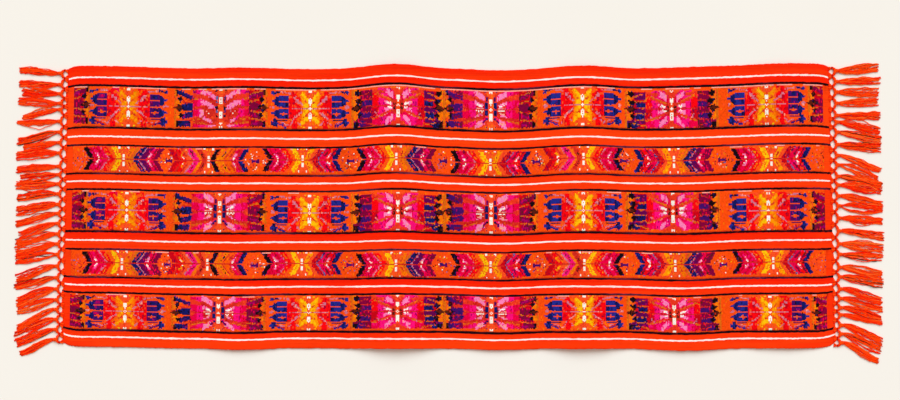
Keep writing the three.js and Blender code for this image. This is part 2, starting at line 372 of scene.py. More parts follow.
white_spans = around(WHITE_LINES, WHITE_WIDTH)
black_spans = around(BLACK_LINES, BLACK_WIDTHS)
brocade_spans = np.concatenate([WIDE_BANDS, NARROW_BANDS])
seams = np.unique(np.round(np.concatenate([
    white_spans.ravel(), black_spans.ravel(), brocade_spans.ravel(), [LOWER_SELVEDGE, UPPER_SELVEDGE],
]), 5))
covered = inside((seams[:-1] + seams[1:]) / 2, brocade_spans)
splits = np.ceil(np.diff(seams) / np.where(covered, COVERED_ROW, GROUND_ROW) - 0.01).astype(int)
ground_rows = np.concatenate([
    np.linspace(low, high, count, endpoint=False) for low, high, count in zip(seams, seams[1:], splits)
] + [[UPPER_SELVEDGE]])
row_middles = (ground_rows[:-1] + ground_rows[1:]) / 2
print(len(row_middles), "rows of ground between the selvedges")

# %% [markdown]
# The ground isn't one flat red. Some skeins took more yellow than others, so each stripe of the warp has
# its own place between red and orange, and the colour drifts along the cloth and from row to row. The
# black pinstripes fade to a purplish grey in places, where their yarn rubbed thin, and the edges of all of
# them wander by a fraction of a thread.

# %% Weave the ground cloth
CLOTH_THICKNESS = 1.5 * MM
LINE_RELIEF = 0.2 * MM
SEAM_WANDER = 0.55 * MM
SEAM_BUMPS = 0.4 * MM
END_PULL = 2.4 * MM
PULL_WIDTH = 3.5 * MM
PULL_REACH = 16 * MM
CORNER_ROUND = 5 * MM
THREADS_PER_METRE = 1000
TOP_SHARE_OF_LAYOUT = 0.85
SKEINS = np.array([
    # height on the cloth in mm, share of orange in the red
    (-337, 0.62), (-316, 0.62), (-312, 0.55), (-299, 0.42), (-207, 0.45), (-190, 0.45), (-187, 0.2),
    (-172, 0.02), (-164, 0.6), (-110, 0.75), (-102, 0.62), (-84, 0.62), (-80, 0.36), (-62, 0.12),
    (-54, 0.65), (34, 0.7), (41, 0.58), (58, 0.58), (61, 0.66), (77, 0.46), (84, 0.8), (140, 0.9),
    (147, 0.8), (166, 0.8), (169, 0.85), (186, 0.66), (194, 0.9), (283, 0.8), (290, 0.12), (307, 0.12),
    (309, 0.62), (337, 0.08),
])
weaver = np.random.default_rng(27)

white_rows = inside(row_middles, white_spans)
black_rows = inside(row_middles, black_spans)


def ground_colours(rows, columns):
    """A colour for each face. Each row's own share of orange, a drift along the cloth, another for every
    few rows and a little chance mix the red with the orange. Each pinstripe drifts between its two
    colours."""
    skein = np.interp(row_middles / MM, SKEINS[:, 0], SKEINS[:, 1])[:, None]
    along = 0.6 * drift(weaver, columns, 60) + 0.4 * drift(weaver, columns, 14)
    lean = np.stack([drift(weaver, columns, 70) for _ in range(rows // 4 + 1)])
    lean = np.repeat(lean, 4, axis=0)[:rows]
    chance = weaver.random((rows, 1)) + 0.4 * weaver.random((rows, columns))
    mix = skein + 0.22 * (along - 0.5) + 0.3 * (lean - 0.5) + 0.16 * (chance - 0.7)
    mix = np.clip(mix, 0, 1.1)[..., None]
    colours = DYES[NUMBER["ground red"]] * (1 - mix) + DYES[NUMBER["ground orange"]] * mix
    for row in np.flatnonzero(white_rows):
        tint = 0.25 * drift(weaver, columns, 6)[:, None] ** 2
        colours[row] = DYES[NUMBER["white"]] * (1 - tint) + DYES[NUMBER["blush"]] * tint
    fade = np.zeros((columns, 1))
    for row in np.flatnonzero(black_rows):
        if not black_rows[row - 1]:
            wear = BLACK_WEAR[abs(BLACK_LINES - row_middles[row]).argmin()]
            fade = np.clip(2.6 * drift(weaver, columns, 34) - 1.7 + 1.6 * wear, 0, 1)[:, None]
        worn = fade * (0.5 + 0.5 * weaver.random((columns, 1)))
        colours[row] = DYES[NUMBER["black"]] * (1 - worn) + DYES[NUMBER["faded black"]] * worn
    return colours.reshape(-1, 3)


def draw_ends(share, across, root_heights):
    """How far the cloth's ends stand out, and how far its corners are rounded off. The legs of the
    fringe pull the end out a little, each in a bell shape round its root."""
    to_end = (1 - abs(share)) * CLOTH_LENGTH / 2
    near = np.maximum(0, 1 - to_end / PULL_REACH) ** 2
    pulls = np.zeros(np.broadcast(share, across).shape)
    for side, heights in root_heights.items():
        bells = np.exp(-((across[..., None] - heights) / PULL_WIDTH) ** 2).sum(axis=-1)
        pulls += np.where(np.sign(share) == side, bells - 0.4, 0) * side
    into_corner = np.maximum(0, 1 - to_end / (1.4 * PULL_REACH)) ** 2
    rounding = -CORNER_ROUND * into_corner * (2 * across / CLOTH_WIDTH) ** 9
    return END_PULL * near * pulls, rounding


def weave_ground(root_heights):
    """The ground as a closed sheet. A row's points wander by a moving average of random steps and bump a
    little at each weft, its ends follow the slanted end of the cloth, and its columns crowd towards
    both ends."""
    even_share = np.linspace(-1, 1, GROUND_COLUMNS + 1)
    share = even_share + 0.5 * np.sin(np.pi * even_share) / np.pi
    across = ground_rows[:, None] + np.stack([
        SEAM_WANDER * (2 * drift(weaver, GROUND_COLUMNS + 1, 3) - 1)
        + SEAM_BUMPS * weaver.uniform(-1, 1, GROUND_COLUMNS + 1) for _ in ground_rows
    ])
    along = share * (CLOTH_LENGTH - END_SLANT * 2 * across / CLOTH_WIDTH) / 2
    pulled, rounding = draw_ends(share[None], across, root_heights)
    x, y, z = lie(along + pulled, across + rounding)
    raised = np.zeros(len(ground_rows))
    lines = white_rows | black_rows
    raised[:-1] += lines * LINE_RELIEF / 2
    raised[1:] += lines * LINE_RELIEF / 2
    points, faces = closed_sheet(x, y, z + CLOTH_THICKNESS + raised[:, None], z)
    rows = len(row_middles)
    top = ground_colours(rows, GROUND_COLUMNS)
    rim = np.tile(DYES[NUMBER["ground red"]], (len(faces) - 2 * len(top), 1))
    places = corner_places(GROUND_COLUMNS, rows)
    woven = np.stack([along[places[..., 1], places[..., 0]], across[places[..., 1], places[..., 0]]], -1)
    spread = np.stack([places[..., 0] / GROUND_COLUMNS, ground_rows[places[..., 1]] / CLOTH_WIDTH + 0.5], -1)
    upper_layout = spread * (1, TOP_SHARE_OF_LAYOUT)
    lower_layout = (spread * (1, 0.98 - TOP_SHARE_OF_LAYOUT) + (0, TOP_SHARE_OF_LAYOUT + 0.01))[:, ::-1]
    no_place = np.zeros((len(rim), 4, 2))
    maps = {
        "threads": np.concatenate([woven, woven[:, ::-1], no_place]) * THREADS_PER_METRE,
        "OFBake": np.concatenate([upper_layout, lower_layout, no_place + (0.5, 0.995)]),
    }
    return make_piece("ground_cloth", points, faces, np.concatenate([top, top, rim]), maps, GROUND_FINISH)


# %% [markdown]
# The solids of the tassels say where their legs leave the cloth, so they are read before it is woven.

# %% Read where each tassel hangs and weave the ground
STATIONS = np.array([0, 0.2, 0.65, 1])
STATION_WINDOW = 7 * MM
NECK_HALF_WIDTH = 3.8 * MM


def read_tassel(name):
    """The side it hangs on (-1 left, 1 right), its knot, its reach, the middle and the half width of its
    bundle at four stations, and the two roots of its legs, all from the points of its solid."""
    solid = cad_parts[name].data
    points = np.empty(3 * len(solid.vertices), np.float32)
    solid.vertices.foreach_get("co", points)
    points = points.reshape(-1, 3).astype(float)
    side = np.sign(points[:, 0].mean())
    knot = points[points[:, 2] > points[:, 2].max() - 0.05 * MM].mean(axis=0)[:2]
    out = side * (points[:, 0] - knot[0])
    reach = out.max()
    middles, halves = [knot[1]], [NECK_HALF_WIDTH]
    for station in STATIONS[1:]:
        near = points[abs(out - station * (reach - STATION_WINDOW / 2)) < STATION_WINDOW, 1]
        middles.append((near.min() + near.max()) / 2)
        halves.append((near.max() - near.min()) / 2)
    rooted = points[out < out.min() + 2.5 * MM]
    above = rooted[:, 1] > knot[1]
    roots = np.array([rooted[above].mean(axis=0)[:2], rooted[~above].mean(axis=0)[:2]])
    return side, knot, reach, np.array(middles), np.array(halves), roots


tassel_places = {name: read_tassel(name) for name in sorted(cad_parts) if name.startswith("tassel")}
root_heights = {
    side: np.concatenate([place[-1][:, 1] for place in tassel_places.values() if place[0] == side])
    - CLOTH_MIDDLE[1]
    for side in (-1, 1)
}
ground_cloth = weave_ground(root_heights)
print("ground cloth:", len(ground_cloth.data.polygons), "faces;", len(tassel_places), "tassels read")

# %% [markdown]
# ## Charting the brocade
# A brocade weaver reads a chart: squared paper on which each square is one stitch. The charts here are
# written as strokes instead, painted one over another as blocks, slopes, lobes and arrows, counted in
# stitches outward from a figure's middle line and up or down from the middle of the band. The two sides
# of a figure share their strokes and differ in yarn, as they do on the cloth.

# %% Strokes that a chart is painted with
STITCH = 2.656 * MM
STITCH_WANDER = 0.5


def block(out, up, out_from, out_to, up_from, up_to):
    """Stitches between two distances out and two heights."""
    return (out >= out_from) & (out < out_to) & (up >= up_from) & (up < up_to)


def slope(out, up, out_from, out_to, up_from, up_to, thick):
    """Stitches within half the thickness of a straight line from one place to another."""
    line = up_from + (up_to - up_from) * (out - out_from) / (out_to - out_from)
    return (out >= out_from) & (out < out_to) & (abs(up - line) < thick / 2)


def lobe(out, up, out_from, out_to, up_from, up_to):
    """A tongue, flat at the inner end and round at the outer: the cubes of both shares of its half
    sizes add up to less than one."""
    share_out = (out - out_from) / (out_to - out_from)
    share_up = abs(up - (up_from + up_to) / 2) / ((up_to - up_from) / 2)
    return (share_out >= 0) & (share_out**3 + share_up**3 < 1)


def lozenge(out, up, out_from, out_to, up_from, up_to):
    """A diamond: the shares of its two half sizes add up to less than one."""
    share_out = abs(out - (out_from + out_to) / 2) / ((out_to - out_from) / 2)
    share_up = abs(up - (up_from + up_to) / 2) / ((up_to - up_from) / 2)
    return share_out + share_up < 1


def wedge(out, up, out_from, out_to, up_from, up_to):
    """A triangle on the middle line, as wide as out_to at up_to and as out_from at up_from."""
    share = (up - up_from) / (up_to - up_from)
    return (share >= 0) & (share < 1) & (out < out_from + (out_to - out_from) * share)


def arrow(out, up, out_from, out_to, up_from, up_to, lean):
    """Stitches whose distance out, less lean times the height above or below the middle, is between two
    numbers: an arrowhead that points at the middle line."""
    point = out - lean * abs(up)
    return (point >= out_from) & (point < out_to) & (abs(up) >= up_from) & (abs(up) < up_to)


def paint(chart, out, up, strokes, wound, random, wander):
    """Paints a figure's strokes on the chart. wound says which real yarn a bobbin of the chart holds on
    this side, and stitches near a stroke's edge fall on either side of it by chance."""
    rough_out = out + random.uniform(-wander, wander, out.shape)
    rough_up = up + random.uniform(-wander, wander, out.shape)
    for bobbin, form, *sizes in strokes:
        here = form(rough_out, rough_up, *sizes) & (out > -0.1)
        chart[here] = NUMBER[wound.get(bobbin, bobbin)]


# %% [markdown]
# ### The star figure
# Golden arms open from a white middle line, between red fields crossed by mauve rays, and a comb of dark
# blue or purple tongues closes each side.

# %% Chart the star
STAR = [
    # bobbin, form, out from, out to, up from, up to, and a slope's thickness
    ("marigold", block, 0, 11.5, -17, 15.5),
    ("coral", block, 11.5, 19.5, -17.5, 16.5),
    ("top field", block, 8.5, 15.5, 10.5, 16.5),
    ("field", block, 8.6, 16.5, -12, 10.4),
    ("field", block, 11.4, 16.5, -18.5, 15.5),
    ("field", block, 15.5, 19.5, -9.5, 9.5),
    ("field", block, 16.8, 18.6, 11.6, 14.6),
    ("field", slope, 16, 20, -11.6, -16.4, 2.4),
    ("marigold", slope, 8, 12.6, 10.4, 13.8, 3),
    ("marigold", slope, 7, 12, -5.6, -11.4, 3.4),
    ("marigold", slope, 6, 12, 2.4, 5.2, 1.6),
    ("deep red", block, 13.4, 15.2, 4, 7.6),
    ("deep red", block, 15.8, 18.6, -5.6, -3),
    ("arm", arrow, 1.6, 6, 0.5, 13.8, 0.24),
    ("bright arm", block, 1.5, 5.6, 0.5, 4.5),
    ("bright arm", slope, 1.5, 7.8, 6.8, 13.8, 4),
    ("bright arm", block, 1.5, 4.5, -3.5, -0.5),
    ("bright arm", block, 4.5, 6.5, -6, -3.5),
    ("bright arm", block, 1.5, 4.5, -11.5, -7.5),
    ("bright arm", slope, 4.4, 8, -9.8, -14, 4),
    ("rust", slope, 2.6, 5.4, 5.2, 7, 0.9),
    ("rust", slope, 2.6, 6, -5.4, -7.6, 0.9),
    ("coral", wedge, 1, 7, 9.8, 17),
    ("coral", wedge, 0.8, 8.4, -11.4, -18.2),
    ("mauve", slope, 6.5, 13, 3, 7, 1.5),
    ("mauve", block, 10.8, 13, 5.4, 8.4),
    ("mauve", block, 12.8, 15.6, 7.8, 10.8),
    ("mauve", slope, 7.6, 11, -3, -5.4, 1.5),
    ("mauve", slope, 10.8, 13.8, -5, -7.6, 2.4),
    ("mauve", slope, 13.6, 16.4, -7.4, -10.4, 2),
    ("mauve", slope, 8.6, 12, -15.4, -12, 1.1),
    ("mauve", slope, 15.8, 20, -12.4, -16.4, 1.1),
    ("mauve", slope, 17, 20, 13.2, 14.2, 1.4),
    ("comb edge", lobe, 19.5, 32.8, 0.5, 11.5),
    ("comb edge", lobe, 19.5, 32.6, -9.5, -0.5),
    ("comb", block, 19.5, 28.5, 0.8, 11.5),
    ("comb", block, 19.5, 28.5, -9.5, -0.6),
    ("comb heart", block, 22.5, 27, 7.5, 10.5),
    ("comb heart", block, 22.5, 27, -3.5, -1.5),
    ("comb root", block, 19.5, 22.5, 1.5, 5.5),
    ("comb root", block, 19.5, 22.5, -9.5, -5.5),
    ("band orange", block, 19.5, 28.5, 5.5, 6.5),
    ("band orange", block, 20.5, 27.5, -5.5, -4.5),
    ("band orange", lozenge, 22, 26, -6.9, -3.1),
    ("comb tip", block, 31.5, 35.2, 5.5, 7.5),
    ("comb tip", block, 31.5, 35, -5.5, -3.5),
    ("mauve", slope, 20, 28, 13.8, 15, 1.2),
    ("comb edge", slope, 27.4, 32.6, 14.8, 13.8, 1.8),
    ("comb tip", block, 32.6, 35, 12, 15.4),
    ("comb root", block, 20.5, 29.5, -11.5, -10.5),
    ("comb", slope, 22, 32, -16.6, -12.6, 2.6),
    ("rust", slope, 20, 29, -16.8, -13, 0.9),
    ("mauve", slope, 20, 26.6, -15, -12.8, 0.9),
    ("comb edge", block, 29.8, 33.5, -17, -9.4),
    ("comb tip", block, 31.8, 35.4, -15, -11.8),
    ("mauve", lozenge, 31, 36, -1, 2.4),
]
STAR_AXIS = [
    ("mauve", block, 2, 17, -0.5, 0.5),
    ("cream", block, 0, 0.5, 2.8, 9.8),
    ("cream", block, 0, 1.5, 4.2, 8.6),
    ("cream", block, 0, 1.5, -0.5, 0.5),
    ("cream", block, 0, 0.5, -1.5, 1.5),
    ("cream", block, 0, 0.5, -11.2, -3.8),
    ("cream", block, 0, 1.5, -9.8, -4.8),
    ("cream", block, 0, 1.5, 14.8, 16.2),
    ("cream", block, 0, 1.5, -18.2, -16.2),
    ("lemon", block, 3.4, 5, 15.2, 16.4),
    ("lemon", block, 4.2, 6, -18, -16.6),
]
STAR_YARNS = {
    "warm": {"field": "red", "top field": "crimson", "arm": "amber", "bright arm": "gold",
             "comb": "purple", "comb heart": "magenta", "comb root": "navy", "comb edge": "navy",
             "comb tip": "blue"},
    "blue": {"field": "red", "top field": "coral", "arm": "gold", "bright arm": "lemon",
             "comb": "blue", "comb heart": "blue", "comb root": "navy", "comb edge": "navy",
             "comb tip": "blue"},
    "dark": {"field": "red", "top field": "red", "arm": "amber", "bright arm": "gold",
             "comb": "purple", "comb heart": "navy", "comb root": "plum", "comb edge": "navy",
             "comb tip": "blue"},
}
print("the star has", len(STAR) + len(STAR_AXIS), "strokes")

# %% [markdown]
# ### The butterfly figure
# Pale pink stitches climb away from a cream middle line like two pairs of wings, over bands of brick red.
# The wing tips turn hot pink and crimson, and dark tongues close each side, with a dark cross in the
# middle of a ragged edge.

# %% Chart the butterfly
TONGUES = [
    ("tongue top", block, 25.5, 38.5, -16.6, 16),
    ("tongue", slope, 25.4, 39.6, 8.8, 15, 5),
    ("tongue fill", block, 25.4, 34, 2, 8),
    ("tongue", lobe, 25.4, 36.6, -2.6, 4.6),
    ("tongue", slope, 25.4, 35.6, -4.8, -8.4, 5.4),
    ("tongue fill", slope, 25.4, 36, -9.4, -12, 3),
    ("tongue", block, 27.4, 40.4, -17, -11.6),
    ("tongue heart", slope, 26, 33, 9.4, 12.2, 2.4),
    ("tongue heart", block, 28, 33, -15.6, -13.6),
    ("tongue heart", slope, 28, 34, -6.4, -8.2, 2),
    ("outline", slope, 25.4, 38, 5, 8.6, 1),
    ("outline", slope, 25.4, 36, -2.4, -4.4, 1),
    ("outline", slope, 25.4, 38, -9.4, -11.4, 1),
    ("outline", slope, 27, 38, 12, 16, 0.8),
    ("amber", block, 36.8, 40.6, 3.4, 8.6),
    ("amber", block, 36.8, 40.6, -9, -3.4),
    ("ochre", block, 40.6, 42.2, -17.6, 16.8),
    ("jag", block, 38.8, 40.6, 11.4, 16.6),
    ("jag", lozenge, 34.6, 39.6, 5, 11),
    ("jag", lozenge, 33, 42.8, -3.8, 3.8),
    ("jag", lozenge, 34.4, 38.4, -9.6, -3.8),
    ("jag", block, 38, 40.4, -17.4, -11.8),
    ("brown", lozenge, 34.4, 43.4, -2.2, 2.4),
]
BUTTERFLY = [
    ("band orange", block, 24, 41, -17.6, 16.8),
    ("wing root", block, 0, 26, -16.4, 15.6),
    ("magenta", block, 22.4, 26.4, 13.6, 15.8),
    ("hot pink", block, 17.6, 22.6, 12.6, 16.6),
    ("pale pink", slope, 11, 18, 12.4, 14.8, 4.6),
    ("pale pink", slope, 5, 11, 8.4, 12.4, 5),
    ("rust", slope, 2.6, 12, 3.4, 8.2, 4.6),
    ("wing root", slope, 11, 26, 9.2, 10.8, 4.2),
    ("ochre", slope, 20, 26.4, 8, 9, 1),
    ("crimson", block, 21, 26, 1, 7.4),
    ("hot pink", block, 18.4, 21.2, 1, 7.6),
    ("pale pink", slope, 12, 18, 3.6, 5.8, 4.6),
    ("pale pink", slope, 5, 12, -1.2, 3.6, 5),
    ("rust", slope, 11, 24, 0.2, 0.8, 1.8),
    ("crimson", block, 20.8, 26, -7.4, -1.2),
    ("inner wing", block, 15.6, 19, -8.6, -0.8),
    ("hot pink", block, 18.8, 21.4, -7.6, -1),
    ("rust", block, 5, 15.8, -8, -1.2),
    ("blush", block, 12.4, 13.6, -3.8, -2.8),
    ("cream", block, 10.4, 11.6, -5.2, -4),
    ("blush", block, 8.4, 9.4, -4, -3),
    ("rust", lozenge, 2, 31, -15.8, -7.6),
    ("ochre", slope, 12, 28, -8.8, -11.6, 1),
    ("ochre", slope, 12, 28, -14.6, -12.4, 1),
    ("inner wing", slope, 12.6, 16, -10.6, -8.6, 3.4),
    ("pale pink", slope, 8.4, 13, -12.6, -10.2, 3),
    ("pale pink", block, 5.4, 12.4, -17.4, -15.4),
    ("hot pink", block, 12.4, 20, -17.4, -15.2),
    ("crimson", block, 20, 26.6, -17.2, -14.6),
    ("coral", wedge, 1.4, 6.2, 9.8, 17),
    ("coral", wedge, 1, 4.8, -11, -18),
    ("coral", block, 0, 2.4, -3.4, 3),
    ("flank", block, 2.7, 4.6, 6.8, 10.8),
    ("black", block, 2.7, 4.8, -2, 1.4),
    ("flank", block, 2.7, 4.4, 4.8, 6),
    ("flank", block, 2.7, 4.8, -4.8, -2),
    ("black", block, 2.7, 4.6, -8.6, -6.4),
    ("black", block, 3.4, 5.2, 15.2, 16.6),
] + TONGUES
BUTTERFLY_AXIS = [
    ("cream", block, 0, 1.5, 3.2, 9.3),
    ("cream", block, 0, 1.5, -9.3, -3.2),
    ("cream", block, 0, 1.5, 15.2, 17.2),
    ("cream", block, 0, 0.5, -15.2, -12.8),
    ("cream", block, 0, 1.5, -14.8, -13.2),
    ("cream", block, 0.5, 1.5, -18.2, -16.8),
]
BUTTERFLY_YARNS = {
    "blue": {"wing root": "brick", "inner wing": "pale pink", "flank": "slate", "tongue": "navy",
             "tongue heart": "purple", "tongue top": "band orange", "tongue fill": "rust",
             "outline": "band orange", "jag": "black"},
    "wine": {"wing root": "brick", "inner wing": "hot pink", "flank": "navy", "tongue": "wine",
             "tongue heart": "magenta", "tongue top": "deep red", "tongue fill": "deep red",
             "outline": "ochre", "jag": "black"},
    "plum": {"tongue": "purple", "tongue heart": "wine", "tongue top": "wine", "tongue fill": "rust",
             "outline": "rust", "jag": "black"},
}
print("the butterfly has", len(BUTTERFLY) + len(BUTTERFLY_AXIS), "strokes")

# %% [markdown]
# ### The fan figure
# Most butterflies are woven as fans: four pink fans round a cream middle, split by rust rays, with dark
# blue along the middle line. The tongues at the sides stay the same.

# %% Chart the fan
FAN = [
    ("band orange", block, 24, 41, -17.6, 16.8),
    ("brick", block, 0, 26, -16.5, 16.5),
    ("crimson", block, 19.5, 25.5, 13.5, 16.5),
    ("hot pink", block, 14.5, 20.5, 11.5, 16.5),
    ("pale pink", slope, 5.5, 15, 10, 15.6, 5.4),
    ("brick", slope, 14, 26, 9.2, 12.4, 3.4),
    ("rust", slope, 4.5, 16, 4.8, 9.8, 3.4),
    ("crimson", block, 19.5, 25.5, 0.5, 8.5),
    ("hot pink", block, 13.5, 19.5, 0.5, 7.5),
    ("deep red", slope, 4.5, 13.5, 1.6, 4.4, 3),
    ("pale pink", slope, 7, 14.5, 3, 6, 3.4),
    ("cream", slope, 7, 12.5, 2.4, 4.8, 1.2),
    ("blush", block, 6.5, 13.5, 0.6, 1.6),
    ("crimson", block, 19.5, 25.5, -8.5, -0.5),
    ("hot pink", block, 13.5, 19.5, -8.5, -0.5),
    ("rust", block, 5, 13.5, -8.5, -1.5),
    ("cream", block, 6.5, 13.5, -1.6, -0.7),
    ("blush", slope, 7, 12, -2.8, -4.6, 1),
    ("pale pink", slope, 8, 14.5, -4.4, -7, 1.4),
    ("rust", slope, 5, 26, -6.4, -11, 3),
    ("ochre", slope, 12, 26, -9.4, -12.4, 0.9),
    ("pale pink", slope, 6, 14.5, -10.5, -15.4, 5.4),
    ("blush", slope, 7, 12, -12, -14, 1.5),
    ("hot pink", slope, 13.5, 20, -12.4, -15, 4.4),
    ("crimson", slope, 19.5, 26, -14.2, -16, 2.6),
    ("brick", lozenge, 20, 29, -3, 3),
    ("coral", wedge, 1.5, 6.4, 9.6, 17),
    ("coral", wedge, 1, 7.5, -10, -18),
    ("coral", block, 0, 2.5, -10.5, 10.5),
    ("plum", block, 2.5, 4.5, 7.5, 11.5),
    ("navy", block, 2.5, 5.5, 0.6, 6.5),
    ("navy", block, 2.5, 5.5, -5.5, -0.6),
    ("hot pink", slope, 2.5, 7, -6.4, -9, 1.2),
    ("navy", block, 2.5, 4.5, -9.5, -7.5),
    ("plum", slope, 4.5, 7.5, -9.6, -12, 2.2),
    ("navy", block, 4.5, 5.5, 15.5, 16.5),
    ("navy", block, 3.5, 4.5, -16.5, -15.5),
] + TONGUES
print("the fan has", len(FAN), "strokes")

# %% [markdown]
# ### The sunburst figure
# This one is the butterfly's sister. A pink field bursts from the middle line, split by thin rust rays,
# and a heavy black edge closes both sides.

# %% Chart the sunburst
SUNBURST = [
    ("band orange", block, 24, 41, -17.6, 16.8),
    ("hot pink", block, 2, 18.6, -17, 16.2),
    ("crimson", block, 4, 12, -9.5, 9),
    ("red", block, 17.6, 23.4, -16.6, 12.6),
    ("deep red", block, 18.4, 23.6, -9.4, -0.8),
    ("crimson", block, 15.6, 23.4, -17, -11.4),
    ("pale pink", slope, 4.4, 10.8, 9, 13.8, 5.4),
    ("pale pink", slope, 4.4, 11.4, -8.8, -15.4, 5.2),
    ("hot pink", block, 11.8, 17.6, 1.4, 7.2),
    ("hot pink", block, 11.4, 17, -8.6, -1.6),
    ("pale pink", slope, 5.6, 12.4, 1.8, 3.6, 3),
    ("cream", slope, 5.8, 10, 1.6, 2.8, 1.8),
    ("pale pink", slope, 5.6, 12.4, -2, -3.6, 3),
    ("cream", block, 5.4, 9, -2.2, -1),
    ("blush", slope, 7, 13, -5.4, -8, 1.4),
    ("crimson", slope, 3, 9, -4.4, -7.6, 2.4),
    ("brick", slope, 2.4, 19, 2.2, 10, 2.4),
    ("brick", slope, 12, 25, 12.4, 14.6, 3),
    ("ochre", slope, 3, 20, 3.8, 11.8, 1.2),
    ("ochre", slope, 19.6, 25, 11.4, 8.8, 1),
    ("brick", slope, 3, 22, -3.4, -10.4, 2),
    ("ochre", slope, 12, 24.6, -7.8, -11.6, 1.2),
    ("mauve", slope, 17, 20.6, -9.6, -4.6, 1.6),
    ("rust", block, 1.5, 4.6, -7, 5.8),
    ("brown", block, 2.4, 4.2, -3.4, 2.6),
    ("crimson", block, 2.4, 4.4, 5.8, 11.4),
    ("brick", wedge, 2.2, 7, 9.2, 16.4),
    ("coral", wedge, 6, 10, 15, 17.4),
    ("brick", wedge, 0.6, 10.6, -11.2, -18),
    ("flank", block, 23.5, 34.5, -17.5, 15.5),
    ("tongue", block, 23.5, 33, 8.5, 14.5),
    ("tongue heart", block, 23.5, 32, 1.5, 6),
    ("tongue", block, 23.5, 34, -4.2, 0.5),
    ("tongue heart", block, 24.5, 33, -9.5, -4.8),
    ("tongue", slope, 24, 36, -11.4, -13.2, 3),
    ("tongue heart", lozenge, 28, 38.6, -17.8, -11),
    ("outline", slope, 23.5, 35, 7.4, 6.6, 1),
    ("outline", slope, 23.5, 30, 1, 0.6, 0.9),
    ("outline", slope, 23.5, 34, -4.6, -4.2, 0.9),
    ("outline", slope, 23.5, 36, -9.4, -10.6, 1),
    ("outline", slope, 22, 35, -16, -13, 1),
    ("outline", slope, 26, 35, 13.4, 10.4, 0.9),
    ("amber", block, 36.5, 40.6, -17.6, 16.8),
    ("ochre", block, 40.5, 42.5, -17.6, 16.8),
    ("jag", lozenge, 33, 40, 10, 16.4),
    ("jag", block, 36.6, 39.5, 12.6, 15.8),
    ("jag", lozenge, 32, 38.6, 2.6, 9.4),
    ("jag", block, 34.6, 39.4, 6.4, 8),
    ("jag", lozenge, 32, 42.6, -3.6, 3.6),
    ("jag", lozenge, 32.4, 37.8, -10, -2.8),
    ("tongue", slope, 33.4, 40.2, -10, -12.4, 2.4),
    ("jag", block, 36, 40.4, -17.4, -12.4),
    ("brown", lozenge, 33.8, 43.4, -2.2, 2.4),
]
SUNBURST_AXIS = [
    ("rust", block, 2, 24, -0.5, 0.5),
    ("cream", block, 0, 1.5, 5.4, 9.6),
    ("cream", block, 0, 0.5, 3.6, 5.6),
    ("cream", block, 0, 1.5, -0.5, 0.5),
    ("cream", block, 0, 0.5, -1.5, 1.5),
    ("cream", block, 0, 1.5, -10.6, -3.8),
    ("cream", block, 0, 1.5, 15, 16.6),
    ("cream", block, 0, 1.5, -18.4, -16.4),
]
SUNBURST_YARNS = {
    "wine": {"flank": "wine", "tongue": "wine", "tongue heart": "purple", "outline": "rust", "jag": "black"},
    "night": {"flank": "deep red", "tongue": "plum", "tongue heart": "navy", "outline": "ochre",
              "jag": "black"},
}
print("the sunburst has", len(SUNBURST) + len(SUNBURST_AXIS), "strokes")

# %% [markdown]
# ### The arrow figure
# The narrow bands carry pairs of arrowheads that point at a white middle line, and small diamonds with a
# few bright specks between the pairs.

# %% Chart the arrows
ARROW = [
    # bobbin, form, out from, out to, up from, up to, and an arrow's lean
    ("coral", block, 0, 20, -11.6, 11.4),
    ("first", arrow, 1, 5.4, 0.5, 10.8, 0.5),
    ("spots", arrow, 2.6, 3.5, 2.4, 7, 0.5),
    ("mid", arrow, 5.4, 8, 0.5, 11, 0.6),
    ("second", arrow, 7.8, 12.6, 0.5, 11, 0.72),
    ("spots", arrow, 9.8, 10.6, 3, 9, 0.72),
    ("thread", arrow, 12.6, 13.6, 0.5, 11, 0.75),
    ("third", arrow, 13.6, 19.4, 0.5, 11, 0.75),
    ("shade", arrow, 16.4, 18, 3.4, 11, 0.75),
    ("thread", arrow, 19, 19.9, 3, 11, 0.78),
    ("fourth", arrow, 19.8, 26.4, 0.5, 10.4, 0.6),
    ("sparks", arrow, 20.4, 22, 1.4, 6, 0.66),
    ("shade", arrow, 23.4, 24.8, 2.4, 10.4, 0.6),
    ("cream", arrow, 21, 22, 1.2, 3.4, 0.8),
    ("edge", arrow, 26.2, 30.8, 0.5, 10.6, 0.55),
    ("edge", block, 34, 36, 8.6, 10.2),
    ("edge", block, 34, 36, -10.4, -9),
]
ARROW_AXIS = [
    ("rust", block, 2, 29, -0.5, 0.5),
    ("cream", block, 0, 1, 1.8, 4.2),
    ("cream", block, 0, 1, -0.8, 0.6),
    ("cream", block, 0, 1, -6.2, -2.6),
    ("cream", block, 3.2, 4.8, 10, 11.4),
    ("lemon", block, 1, 2.2, 9.4, 10.6),
    ("cream", block, 2.8, 4.2, -11.2, -10),
]
ARROW_YARNS = {
    "sunny": {"first": "lemon", "spots": "amber", "mid": "marigold", "second": "red", "thread": "mauve",
              "third": "crimson", "shade": "deep red", "sparks": "pale pink", "fourth": "crimson",
              "edge": "black"},
    "dusky": {"first": "amber", "spots": "rust", "mid": "ochre", "second": "navy", "thread": "mauve",
              "third": "plum", "shade": "wine", "sparks": "pale pink", "fourth": "crimson",
              "edge": "wine"},
    "night": {"first": "gold", "spots": "rust", "mid": "coral", "second": "deep red",
              "thread": "slate", "third": "crimson", "shade": "wine", "sparks": "pale pink",
              "fourth": "red", "edge": "navy"},
    "star": {"first": "black", "spots": "black", "mid": "amber", "second": "amber",
             "thread": "rust", "third": "marigold", "shade": "rust", "sparks": "pale pink",
             "fourth": "crimson", "edge": "navy"},
    "rosy": {"first": "rust", "spots": "brown", "mid": "amber", "second": "hot pink",
             "thread": "mauve", "third": "coral", "shade": "rust", "sparks": "gold", "fourth": "red",
             "edge": "deep red"},
}
